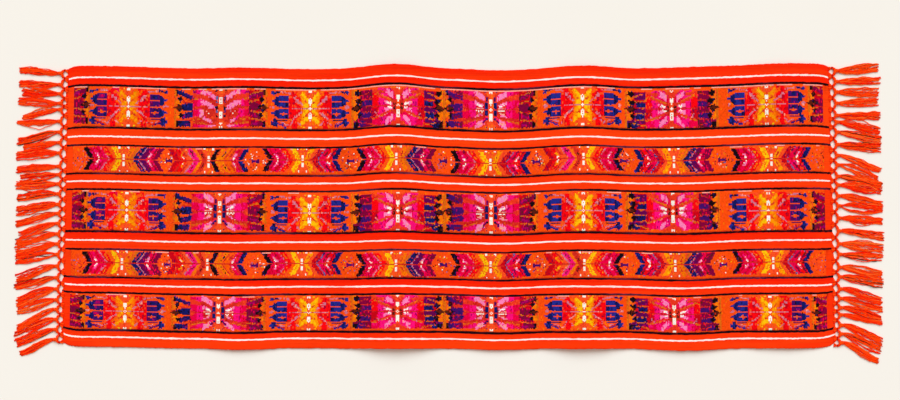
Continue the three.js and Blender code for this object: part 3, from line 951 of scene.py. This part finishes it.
print("the arrow has", len(ARROW) + len(ARROW_AXIS), "strokes")

# %% [markdown]
# ## Weaving the bands
# Now the charts are laid out along each band. The figures' middle lines come as a short list of real
# places, and every band repeats them. Each stitch becomes one face. Laid-in yarn is thicker than the
# ground, so a stitch of it stands higher than a stitch where the ground shows.

# %% Weave the five bands
BAND_COLUMNS = 680
BAND_REACH = BAND_COLUMNS * STITCH / 2
WIDE_ROWS = 36
NARROW_ROWS = 24
BAND_SINK = 0.3 * MM
BARE_HEIGHT = 0.1 * MM
YARN_HEIGHT = 0.5 * MM
FOLDS = 5
AXIS_WANDER = 0.1
ON_A_STITCH = 0.0
ON_A_SEAM = 0.5
HIGH_OR_LOW = (-0.5, 0.5, 0.5, 1.5)
STAR_FIGURE = (STAR, STAR_AXIS, ON_A_STITCH)
BUTTERFLY_FIGURE = (BUTTERFLY, BUTTERFLY_AXIS, ON_A_STITCH)
FAN_FIGURE = (FAN, SUNBURST_AXIS, ON_A_STITCH)
SUNBURST_FIGURE = (SUNBURST, SUNBURST_AXIS, ON_A_STITCH)
ARROW_FIGURE = (ARROW, ARROW_AXIS, ON_A_SEAM)
WIDE_FIGURES = [
    # middle line in mm, figure, yarns on the left, yarns on the right
    (-975, BUTTERFLY_FIGURE, BUTTERFLY_YARNS["wine"], BUTTERFLY_YARNS["wine"]),
    (-772, STAR_FIGURE, STAR_YARNS["warm"], STAR_YARNS["dark"]),
    (-549.5, FAN_FIGURE, BUTTERFLY_YARNS["blue"], BUTTERFLY_YARNS["wine"]),
    (-334, STAR_FIGURE, STAR_YARNS["blue"], STAR_YARNS["blue"]),
    (-121, SUNBURST_FIGURE, SUNBURST_YARNS["wine"], SUNBURST_YARNS["night"]),
    (101.5, FAN_FIGURE, BUTTERFLY_YARNS["plum"], BUTTERFLY_YARNS["wine"]),
    (323, STAR_FIGURE, STAR_YARNS["blue"], STAR_YARNS["blue"]),
    (538, SUNBURST_FIGURE, SUNBURST_YARNS["night"], SUNBURST_YARNS["wine"]),
    (767, STAR_FIGURE, STAR_YARNS["blue"], STAR_YARNS["dark"]),
    (978.2, BUTTERFLY_FIGURE, BUTTERFLY_YARNS["wine"], BUTTERFLY_YARNS["wine"]),
]
UPPERMOST_FIGURES = WIDE_FIGURES[:2] + [
    (-549.5, BUTTERFLY_FIGURE, BUTTERFLY_YARNS["blue"], BUTTERFLY_YARNS["wine"]),
] + WIDE_FIGURES[3:]
NARROW_FIGURES = [
    (-781, ARROW_FIGURE, ARROW_YARNS["sunny"], ARROW_YARNS["dusky"]),
    (-575.5, ARROW_FIGURE, ARROW_YARNS["rosy"], ARROW_YARNS["star"]),
    (-351, ARROW_FIGURE, ARROW_YARNS["sunny"], ARROW_YARNS["night"]),
    (-125, ARROW_FIGURE, ARROW_YARNS["sunny"], ARROW_YARNS["dusky"]),
    (102.2, ARROW_FIGURE, ARROW_YARNS["sunny"], ARROW_YARNS["night"]),
    (325, ARROW_FIGURE, ARROW_YARNS["rosy"], ARROW_YARNS["sunny"]),
    (543, ARROW_FIGURE, ARROW_YARNS["night"], ARROW_YARNS["dusky"]),
    (775, ARROW_FIGURE, ARROW_YARNS["sunny"], ARROW_YARNS["night"]),
]
ARROW_GAPS = MM * np.array([-884, -672, -464, -235, -12, 212, 422, 658, 891])
END_GAP_FROM = 800 * MM


def chart_band(rows, figures, random):
    """The yarn number of each stitch: the band's ground, with each figure's two sides painted on it. A
    figure's middle line falls on the middle of a stitch or on the seam between two, so that it stays
    even on both sides, and each figure sits a little high or low, as woven."""
    chart = np.full((rows, BAND_COLUMNS), NUMBER["band orange"])
    column, row = np.meshgrid(np.arange(BAND_COLUMNS), np.arange(rows) + 0.5)
    up = row - rows / 2
    for middle, (strokes, axis, seat), left, right in figures:
        out = column + seat - np.round((middle * MM + BAND_REACH) / STITCH - 0.5 + seat)
        shifted = up - random.choice(HIGH_OR_LOW)
        for side, wound in ((-1, left), (1, right)):
            paint(chart, side * out, shifted, strokes, wound, random, STITCH_WANDER)
        for side in (-1, 1):
            paint(chart, side * out, shifted, axis, {}, random, AXIS_WANDER)
    return chart


def speckle_gaps(chart, random):
    """Small diamonds between the arrows: a coral ground, scattered specks and a dark bar in the middle.
    The half diamonds at the two ends are quieter, with no bar."""
    rows = len(chart)
    column, row = np.meshgrid(np.arange(BAND_COLUMNS) + 0.5, np.arange(rows) + 0.5)
    up = row - rows / 2
    bright = [NUMBER[name] for name in ("cream", "slate", "lemon", "blush", "navy", "rust", "brown")]
    quiet = [NUMBER[name] for name in ("rust", "brown", "mauve", "slate", "rust")]
    for middle in ARROW_GAPS:
        out = abs(column - (middle + BAND_REACH) / STITCH)
        inner = (out + 1.05 * abs(up) < 11) & (chart == NUMBER["band orange"])
        chart[inner & (random.random(chart.shape) < 0.4)] = NUMBER["coral"]
        specks = inner & (random.random(chart.shape) < 0.13)
        if abs(middle) > END_GAP_FROM:
            chart[specks] = random.choice(quiet, specks.sum())
            continue
        chart[specks] = random.choice(bright, specks.sum())
        chart[(out < 3.4) & (abs(up) < 0.9)] = NUMBER["purple"]
        chart[(out > 2) & (out < 3.4) & (abs(up) < 1.6)] = NUMBER["plum"]
    return chart


# %% [markdown]
# No field of the brocade is one plain colour. The weaver lays in strands of kindred yarns together, so
# each field is flecked with a lighter and a darker neighbour, in short upright floats two stitches long,
# and the darker one comes up most along the outlines.

# %% Fleck the fields
FLECKS = {
    # yarn: the lighter yarn and the darker yarn that fleck it
    "band orange": ("amber", "coral"), "marigold": ("amber", "coral"), "coral": ("amber", "brick"),
    "amber": ("gold", "coral"), "ochre": ("amber", "rust"), "gold": ("lemon", "amber"),
    "lemon": ("lemon", "gold"), "blush": ("blush", "mauve"), "red": ("coral", "deep red"),
    "deep red": ("red", "wine"), "crimson": ("hot pink", "deep red"), "wine": ("crimson", "brown"),
    "magenta": ("crimson", "wine"),
    "hot pink": ("magenta", "crimson"), "pale pink": ("blush", "hot pink"), "rust": ("brick", "deep red"),
    "brick": ("coral", "rust"), "brown": ("rust", "black"), "black": ("brown", "navy"),
    "navy": ("blue", "black"), "blue": ("purple", "navy"), "purple": ("magenta", "navy"),
    "plum": ("magenta", "purple"), "mauve": ("blush", "rust"), "slate": ("mauve", "navy"),
}
LIGHTER = np.arange(len(YARNS))
DARKER = np.arange(len(YARNS))
for yarn, (lighter, darker) in FLECKS.items():
    LIGHTER[NUMBER[yarn]] = NUMBER[lighter]
    DARKER[NUMBER[yarn]] = NUMBER[darker]
FLECK_SHARE = 0.075
BARE_FLECK_SHARE = 0.03
OUTLINE_SHARE = 0.16


def fleck(chart, random):
    """Swaps some stitches for a kindred yarn. Chance is drawn once for two stitches of a column, with the
    pairs of neighbouring columns a stitch apart, and once more for each stitch on an outline."""
    rows, columns = chart.shape
    pair = (np.arange(rows)[:, None] + np.arange(columns) % 2) // 2
    chance = random.random((rows // 2 + 1, columns))[pair, np.arange(columns)]
    share = np.where(chart == NUMBER["band orange"], BARE_FLECK_SHARE, FLECK_SHARE)
    outline = np.zeros(chart.shape, bool)
    outline[:, 1:] |= chart[:, 1:] != chart[:, :-1]
    outline[1:] |= chart[1:] != chart[:-1]
    outline &= (random.random(chart.shape) < OUTLINE_SHARE) & (chart != NUMBER["band orange"])
    flecked = np.where(chance < share, LIGHTER[chart], chart)
    return np.where((chance > 1 - share) | outline, DARKER[chart], flecked)


def rub_top_row(chart, share, random):
    """The uppermost row, where a blush pink warp thread shows in stretches and is hidden in others."""
    shows = drift(random, BAND_COLUMNS, 18) < share
    chart[-1] = np.where(shows, NUMBER["blush"], chart[-1])
    return chart


def stitch_colours(chart, random):
    """Each stitch's colour: its yarn, a little lighter or darker than its neighbours, with slow changes
    along the band where a new skein was joined in."""
    skein = 0.93 + 0.14 * drift(random, BAND_COLUMNS, 24)
    light = skein * random.normal(1, 0.07, chart.shape)
    return (DYES[chart] * light[..., None]).reshape(-1, 3)


def weave_band(name, low, high, rows, figures, blush_share):
    """One band as a thin closed sheet on the ground cloth. A point is as high as the mean of the stitches
    round it, and the sheet's back sinks a little into the ground, as the yarn does."""
    random = np.random.default_rng(sum(map(ord, name)))
    chart = chart_band(rows, figures, random)
    if figures is NARROW_FIGURES:
        chart = speckle_gaps(chart, random)
    chart = rub_top_row(fleck(chart, random), blush_share, random)
    height = np.where(chart == NUMBER["band orange"], BARE_HEIGHT, YARN_HEIGHT)
    padded = np.pad(height, 1)
    mean = (padded[:-1, :-1] + padded[:-1, 1:] + padded[1:, :-1] + padded[1:, 1:]) / 4
    along, across = np.meshgrid(np.linspace(-1, 1, BAND_COLUMNS + 1) * BAND_REACH,
                                np.linspace(low, high, rows + 1))
    along *= 1 - END_SLANT * 2 * across / (CLOTH_WIDTH * CLOTH_LENGTH)
    x, y, z = lie(along, across)
    surface = z + CLOTH_THICKNESS
    points, faces = closed_sheet(x, y, surface + mean, surface - BAND_SINK)
    top = stitch_colours(chart, random)
    rim = np.tile(DYES[NUMBER["band orange"]], (len(faces) - 2 * len(top), 1))
    counts = corner_places(BAND_COLUMNS, rows)
    first = counts[:, :1, 0] // (BAND_COLUMNS // FOLDS)
    folded = np.stack([
        counts[..., 0] / (BAND_COLUMNS // FOLDS) - first,
        (first + counts[..., 1] / (rows + 1)) / (FOLDS + 1),
    ], -1)
    backs = counts / (BAND_COLUMNS, rows + 1) * (1, 1 / (FOLDS + 1)) + (0, FOLDS / (FOLDS + 1))
    no_place = np.zeros((len(rim), 4, 2))
    maps = {
        "threads": np.concatenate([counts, counts[:, ::-1], no_place]),
        "OFBake": np.concatenate([folded, backs[:, ::-1], no_place + (0.5, 0.999)]),
    }
    colours = np.concatenate([top, top, rim])
    return make_piece(name, points, faces, colours, maps, BROCADE_FINISH)


WIDE_BLUSH = (0.5, 0.25, 0.15)
NARROW_BLUSH = (0.25, 0.15)
bands = [
    weave_band(f"wide_brocade_{number + 1}", low, high, WIDE_ROWS,
               WIDE_FIGURES if number else UPPERMOST_FIGURES, WIDE_BLUSH[number])
    for number, (low, high) in enumerate(WIDE_BANDS)
] + [
    weave_band(f"narrow_brocade_{number + 1}", low, high, NARROW_ROWS, NARROW_FIGURES, NARROW_BLUSH[number])
    for number, (low, high) in enumerate(NARROW_BANDS)
]
print("brocade:", sum(len(band.data.polygons) for band in bands), "faces in", len(bands), "bands")

# %% [markdown]
# ## Yarn for the fringe
# When the cloth comes off the loom, its warp ends are gathered in groups. Half of each group is twisted
# with half of its neighbour and knotted, which leaves a row of small diamonds, and below the knots the
# yarns hang loose as tassels. A yarn is a six-sided tube along a path. Many tubes are computed at once,
# as one array of rings.

# %% Carry rings along many paths at once
SIDES = 6
CAP_FRONT = np.array([(0, 1, 2, 3), (0, 3, 4, 5)])


def unit(vectors):
    """The same directions with length one."""
    return vectors / np.linalg.norm(vectors, axis=-1, keepdims=True)


def tubes(paths, radii, colours, reference):
    """Closed tubes. A ring at each path point lies square to the path: its first axis is square to the
    path and to the reference direction, and its second is square to both. colours has one for each
    stretch of each path."""
    forward = unit(np.gradient(paths, axis=1))
    sideways = unit(np.cross(reference, forward))
    upright = np.cross(forward, sideways)
    turn = np.arange(SIDES) * 2 * np.pi / SIDES
    ring = np.cos(turn)[:, None] * sideways[:, :, None] + np.sin(turn)[:, None] * upright[:, :, None]
    points = paths[:, :, None] + radii[..., None, None] * ring
    count, stations = paths.shape[:2]
    number = np.arange(count * stations * SIDES).reshape(count, stations, SIDES)
    after = np.roll(number, -1, axis=2)
    walls = np.stack([number[:, :-1], after[:, :-1], after[:, 1:], number[:, 1:]], -1).reshape(-1, 4)
    starts = number[:, 0][:, CAP_FRONT[:, ::-1]].reshape(-1, 4)
    ends = number[:, -1][:, CAP_FRONT].reshape(-1, 4)
    steps = np.linalg.norm(np.diff(paths, axis=1), axis=-1)
    length = np.concatenate([np.zeros((count, 1)), np.cumsum(steps, axis=1)], axis=1)
    wall_map = np.zeros((count, stations - 1, SIDES, 4, 2))
    wall_map[..., 0] = (np.arange(SIDES)[:, None] + (0, 1, 1, 0)) / SIDES
    wall_map[..., :2, 1] = length[:, :-1, None, None]
    wall_map[..., 2:, 1] = length[:, 1:, None, None]
    caps_map = np.zeros((len(starts) + len(ends), 4, 2))
    shade = np.concatenate([np.repeat(colours.reshape(-1, 3), SIDES, axis=0),
                            np.repeat(colours[:, 0], 2, axis=0), np.repeat(colours[:, -1], 2, axis=0)])
    return (points.reshape(-1, 3), np.concatenate([walls, starts, ends]), shade,
            np.concatenate([wall_map.reshape(-1, 4, 2), caps_map]))


def join(parts):
    """Several sets of tubes as one: each set's faces count on from the points before them."""
    sizes = np.cumsum([0] + [len(points) for points, *_ in parts])
    faces = np.concatenate([part[1] + size for part, size in zip(parts, sizes)])
    return [np.concatenate([part[0] for part in parts]), faces,
            np.concatenate([part[2] for part in parts]), np.concatenate([part[3] for part in parts])]


# %% [markdown]
# The fringe yarn is the same cotton as the ground, plied from two strands, so its skin shows a fine
# twist. Seen close, the ply is a diagonal wave: the turn round the yarn plus the distance along it.

# %% Finish the fringe yarn
PLY_PITCH = 3.2 * MM


def fringe_finish():
    """Plied cotton: a diagonal ridge for each of two strands, over the yarn's own colour."""
    material, tree, skin, colour = cotton("fringe_cotton", 0.012)
    turn, along = thread_counts(tree)
    spiral = arithmetic(tree, "ADD", arithmetic(tree, "MULTIPLY", turn, 2.0),
                        arithmetic(tree, "DIVIDE", along, PLY_PITCH))
    raise_relief(tree, skin, ridges(tree, spiral), 0.2 * MM)
    tree.links.new(uneven_dye(tree, colour, (220, 700, 400), 0.16), skin.inputs["Base Color"])
    return material


FRINGE_FINISH = fringe_finish()
print("finish:", FRINGE_FINISH.name)

# %% [markdown]
# ## The tassels
# Below its knot a tassel falls into a few clumps of yarn, which fan out, part here and there, and meet
# again. In each clump the yarns wind slowly round one another. The tips are cut by hand, so their lengths
# differ by a few millimetres, and a yarn may stray over to the next clump or stand off on its own.

# %% Lay the yarns of a bundle
YARN_RADIUS = 0.95 * MM
CLUMPS = 6
YARNS_IN_CLUMP = 4
YARN_STATIONS = 17
MOVING_SHARE = 0.22
STRAY_SHARE = 0.08
STRAY_REACH = 11
CLUMP_HALF_WIDTH = 2.3 * MM
CLUMP_HALF_HEIGHT = 1.1 * MM
LOOSENESS = np.array([1, 1.45, 1.24, 1.14])


def bundle_paths(tassel, random):
    """The paths of a tassel's yarns. The bundle's middle follows a cubic through the four stations of its
    solid, and its width is the solid's times the looseness there. A clump keeps its own share of that
    width and parts from its neighbours by a sine of its own, the inner ones most, and in the clump each
    yarn turns slowly round the middle."""
    side, knot, reach, middles, halves, _ = tassel
    share = np.linspace(0, 1, YARN_STATIONS)
    middle = np.polyval(np.polyfit(STATIONS, middles, 3), share)
    half = np.interp(share, STATIONS, halves * LOOSENESS) * random.uniform(0.88, 1.15)
    count = CLUMPS * YARNS_IN_CLUMP
    clump = np.repeat(np.arange(CLUMPS), YARNS_IN_CLUMP)[:, None]
    seats = np.linspace(-1, 1, CLUMPS) + random.normal(0, 0.13, CLUMPS)
    moves = random.random((count, 1)) < MOVING_SHARE
    moved = np.where(moves, random.integers(0, CLUMPS, (count, 1)), clump)
    crossing = share**2 * (3 - 2 * share)
    seat = seats[clump] * (1 - crossing) + seats[moved] * crossing
    parting = random.normal(0, 5, CLUMPS) * (1 - 0.75 * abs(np.linspace(-1, 1, CLUMPS))) * MM
    parting = parting[clump] * np.sin(np.pi * share ** random.uniform(0.7, 1.5))
    gathered = 1 - 0.55 * np.maximum(0, 4 * share - 3)
    grown = (0.45 + 0.55 * np.minimum(1, 3 * share)) * gathered
    strand = np.tile(np.arange(YARNS_IN_CLUMP), CLUMPS)[:, None] / YARNS_IN_CLUMP
    turn = 2 * np.pi * (strand + random.random(CLUMPS)[clump]) + random.uniform(-3, 3, CLUMPS)[clump] * share
    stand = random.uniform(0.6, 1, (count, 1))
    phase = random.uniform(0, 2 * np.pi, (2, count, 1))
    wander = 1.1 * np.sin(8 * share + phase[0]) + 0.8 * np.sin(19 * share + phase[1])
    wander += random.uniform(-0.6, 0.6, (count, YARN_STATIONS))
    wander = wander * random.uniform(0.4, 1.4, (count, 1)) * np.minimum(1, 2.5 * share) * MM
    aside = random.random((count, 1)) < STRAY_SHARE
    stray = np.where(aside, random.uniform(-STRAY_REACH, STRAY_REACH, (count, 1)), 0) * MM
    stray = stray * np.sin(np.pi * share) ** 2
    length = reach * (1.01 - random.uniform(0, 0.05, CLUMPS)[clump] - random.uniform(0, 0.045, (count, 1)))
    x = knot[0] + side * share * length
    across = seat * (half - CLUMP_HALF_WIDTH * grown) + stand * CLUMP_HALF_WIDTH * grown * np.cos(turn)
    y = middle + across + parting + wander + stray
    z = YARN_RADIUS + CLUMP_HALF_HEIGHT * grown * (1 + stand * np.sin(turn)) + 1.2 * MM * (1 - share) ** 4
    radii = YARN_RADIUS * (0.8 + 0.2 * np.minimum(1, 5 * share)) * np.ones((count, 1))
    return np.stack([x, y, np.maximum(z, radii)], -1), radii


# %% [markdown]
# Most of the fringe is the ground's orange red. Some yarns are deeper, as the inner ones lie in shade, a
# few are paler, and where a black pinstripe reaches the end, the tassel that takes it up holds a black
# yarn or two. The knot is a short rope of yarn wound round the neck, and the two legs behind it are
# twisted pairs that open like a small diamond.

# %% Colour, knot and twist a tassel
LEG_STATIONS = 16
LEG_TURNS = 1.4
LEG_FORM = MM * np.array([
    # share of the length, way in to the knot (both bare numbers), strand radius, strand offset, height
    (0, 0.26, 2.3, 2.6, 2.4), (0.18, 0.16, 2.2, 2, 2.4), (0.4, -0.02, 1.8, 0.8, 2.5),
    (0.6, -0.02, 1.8, 0.9, 2.8), (0.76, 0.12, 2.1, 1.3, 3.2), (0.9, 0.54, 2.4, 1.6, 4),
    (1, 0.88, 2.4, 1.5, 4.4),
]) / (MM, MM, 1, 1, 1)
LEG_OVERLAP = 3 * MM
LEG_SHORT_OF_KNOT = 9 * MM
KNOT_STATIONS = 32
KNOT_TURNS = 3.2
KNOT_RADIUS = 3.5 * MM
KNOT_BACK = 6.2 * MM
KNOT_HALF_LENGTH = 5.2 * MM
ROPE_RADIUS = 1.8 * MM
WRAP_STATIONS = 12
WRAP_TURNS = 1.3
WRAP_YARN_RADIUS = 0.8 * MM
KNOT_FLATNESS = 0.65
# Fringe colours: real dyes, plus painted shade. The third and fifth are painted shade of inner yarns, and
# the fifth is also the wraps' own dark red.
FRINGE_DYES_AND_SHADES = linear_light([(255, 72, 8), (255, 46, 3), (246, 22, 1), (255, 108, 38), (196, 12, 6)])
FRINGE_SHARES = (0.42, 0.3, 0.14, 0.11, 0.03)
BLACK_REACH = 9 * MM


def even(colour, count, stretches):
    """The same colour on every stretch of so many tubes."""
    return np.tile(colour, (count, stretches, 1))


def leg_parts(tassel):
    """The two legs. Each is a pair of strands that wind round its middle line, half a turn apart, from
    inside the cloth's end to the knot. They leave the cloth side by side, draw together at a waist that
    a thin wrap holds, and then turn in to the knot."""
    side, knot, *_, roots = tassel
    share = np.linspace(0, 1, LEG_STATIONS)
    parts = []
    for root in roots:
        start, end = root[0] - side * LEG_OVERLAP, knot[0] - side * LEG_SHORT_OF_KNOT
        inward, radius, offset, height = (np.interp(share, LEG_FORM[:, 0], part) for part in LEG_FORM.T[1:])
        line = np.stack([start + share * (end - start), root[1] + inward * (knot[1] - root[1]), height], -1)
        square = unit(np.cross((0, 0, 1), unit(np.gradient(line, axis=0))))
        turn = 2 * np.pi * (LEG_TURNS * share**2 + np.array([[0], [0.5]]))
        lift = np.sin(turn)[..., None] * (0, 0, 0.6)
        strands = line + offset[:, None] * (np.cos(turn)[..., None] * square + lift)
        radii = np.tile(radius, (2, 1))
        dyes = np.repeat(FRINGE_DYES_AND_SHADES[[0, 1], None], LEG_STATIONS - 1, axis=1)
        parts.append(tubes(strands, radii, dyes, (0, 0, 1)))
        wrap = np.linspace(0, 1, WRAP_STATIONS)
        around_leg = 2 * np.pi * WRAP_TURNS * wrap
        ring = np.stack([root[0] + side * (4 + 2.4 * wrap) * MM,
                         root[1] + 2.6 * MM * np.cos(around_leg),
                         2.9 * MM + 2 * MM * np.sin(around_leg)], -1)[None]
        thin = np.full((1, WRAP_STATIONS), WRAP_YARN_RADIUS)
        parts.append(tubes(ring, thin, even(FRINGE_DYES_AND_SHADES[4], 1, WRAP_STATIONS - 1), (1, 0, 0)))
    return parts


def knot_parts(tassel):
    """The knot: a rope of yarn that winds round the bundle's neck, fattest in the middle, over a plain
    core that fills it."""
    side, knot = tassel[:2]
    share = np.linspace(0, 1, KNOT_STATIONS)
    turn = 2 * np.pi * KNOT_TURNS * share
    centre = knot[0] - side * KNOT_BACK
    centre_height = KNOT_FLATNESS * KNOT_RADIUS + ROPE_RADIUS
    belly = KNOT_RADIUS * (0.45 + 0.55 * np.sin(np.pi * (0.15 + 0.7 * share)))
    rope = np.stack([centre + side * KNOT_HALF_LENGTH * (2 * share - 1),
                     knot[1] + belly * np.cos(turn),
                     centre_height + KNOT_FLATNESS * belly * np.sin(turn)], -1)[None]
    core_x = centre + side * np.array([-6, -2, 2, 7]) * MM
    core = np.stack([core_x, np.full(4, knot[1]), np.full(4, centre_height)], -1)[None]
    return [
        tubes(rope, np.full((1, KNOT_STATIONS), ROPE_RADIUS),
              even(FRINGE_DYES_AND_SHADES[0], 1, KNOT_STATIONS - 1), (1, 0, 0)),
        tubes(core, MM * np.array([[3, 3.4, 3.4, 3]]), even(FRINGE_DYES_AND_SHADES[1], 1, 3), (0, 0, 1)),
    ]


def make_tassel(name, random):
    """One tassel: its bundle of yarns, its knot and its two legs."""
    tassel = tassel_places[name]
    paths, radii = bundle_paths(tassel, random)
    count, stations = radii.shape
    # The deeper colours drawn here are painted shade, given to yarns picked at random.
    dyes = FRINGE_DYES_AND_SHADES[random.choice(len(FRINGE_DYES_AND_SHADES), count, p=FRINGE_SHARES)]
    if abs(tassel[1][1] - CLOTH_MIDDLE[1] - BLACK_LINES).min() < BLACK_REACH:
        dyes[random.choice(count, 2, replace=False)] = DYES[NUMBER["brown"]]
    light = random.normal(1, 0.05, (count, stations - 1, 1))
    yarns = tubes(paths, radii, dyes[:, None] * light, (0, 0, 1))
    points, faces, shade, places = join([yarns] + leg_parts(tassel) + knot_parts(tassel))
    piece = make_piece(name.replace("tassel", "yarns"), points, faces, shade, {"threads": places},
                       FRINGE_FINISH)
    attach(piece, "root")
    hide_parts(name)
    return piece


knotter = np.random.default_rng(54)
tassels = [make_tassel(name, knotter) for name in tassel_places]
print(len(tassels), "tassels of", len(tassels[0].data.polygons), "faces each")

# %% [markdown]
# ## The table and the light
# The cloth lies on a plain off-white surface. The light is broad and soft and comes mostly from beyond the
# upper selvedge, so a thin shadow shows only along the lower one, and grows where a ripple lifts it. The
# sky is a little warmer than the lamp, so the shadows are too.

# %% Lay the surface and light it
FLOOR_HALF = 6.0
FLOOR_DROP = 0.3 * MM
FLOOR_TONE = (240, 235, 226)
FULL_LIGHT = 1.08
SKY_LIGHT = np.array((0.52, 0.465, 0.41))
LAMP_TILT = np.radians(42)


def lay_floor():
    """One large square just under the cloth, in warm white with a barely uneven tone."""
    mesh = bpy.data.meshes.new("table_top")
    corners = FLOOR_HALF * np.array([(-1, -1, 0), (1, -1, 0), (1, 1, 0), (-1, 1, 0)]) - (0, 0, FLOOR_DROP)
    mesh.from_pydata(corners.tolist(), [], [(0, 1, 2, 3)])
    material = bpy.data.materials.new("pale_surface")
    material.use_nodes = True
    tree = material.node_tree
    skin = tree.nodes["Principled BSDF"]
    skin.inputs["Roughness"].default_value = 0.95
    skin.inputs["Specular IOR Level"].default_value = 0.0
    tone = tree.nodes.new("ShaderNodeRGB")
    tone.outputs["Color"].default_value = (*linear_light(FLOOR_TONE), 1)
    tree.links.new(uneven_dye(tree, tone.outputs["Color"], (3, 3, 1), 0.004), skin.inputs["Base Color"])
    mesh.materials.append(material)
    floor = bpy.data.objects.new("table_top", mesh)
    bpy.context.scene.collection.objects.link(floor)
    return floor


def light_the_room():
    """A soft sky, and a broad lamp that adds what the sky leaves to full light on a level surface. A
    surface square to a sun lamp of strength pi is lit fully, and a tilted one by the cosine of that."""
    sky = bpy.data.worlds.new("soft_sky")
    sky.use_nodes = True
    sky.node_tree.nodes["Background"].inputs["Color"].default_value = (*SKY_LIGHT, 1)
    bpy.context.scene.world = sky
    rest = FULL_LIGHT - SKY_LIGHT
    lamp_data = bpy.data.lights.new("broad_lamp", "SUN")
    lamp_data.energy = np.pi * rest.max() / np.cos(LAMP_TILT)
    lamp_data.color = rest / rest.max()
    lamp_data.angle = np.radians(50)
    lamp = bpy.data.objects.new("broad_lamp", lamp_data)
    lamp.rotation_euler = (-LAMP_TILT, 0, 0)
    bpy.context.scene.collection.objects.link(lamp)


table_top = lay_floor()
light_the_room()
bpy.context.scene.view_settings.view_transform = "Standard"
print("one broad lamp and a soft sky")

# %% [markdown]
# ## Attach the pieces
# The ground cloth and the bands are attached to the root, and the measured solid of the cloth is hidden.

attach(ground_cloth, "root")
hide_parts("cloth")
for band in bands:
    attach(band, "root")
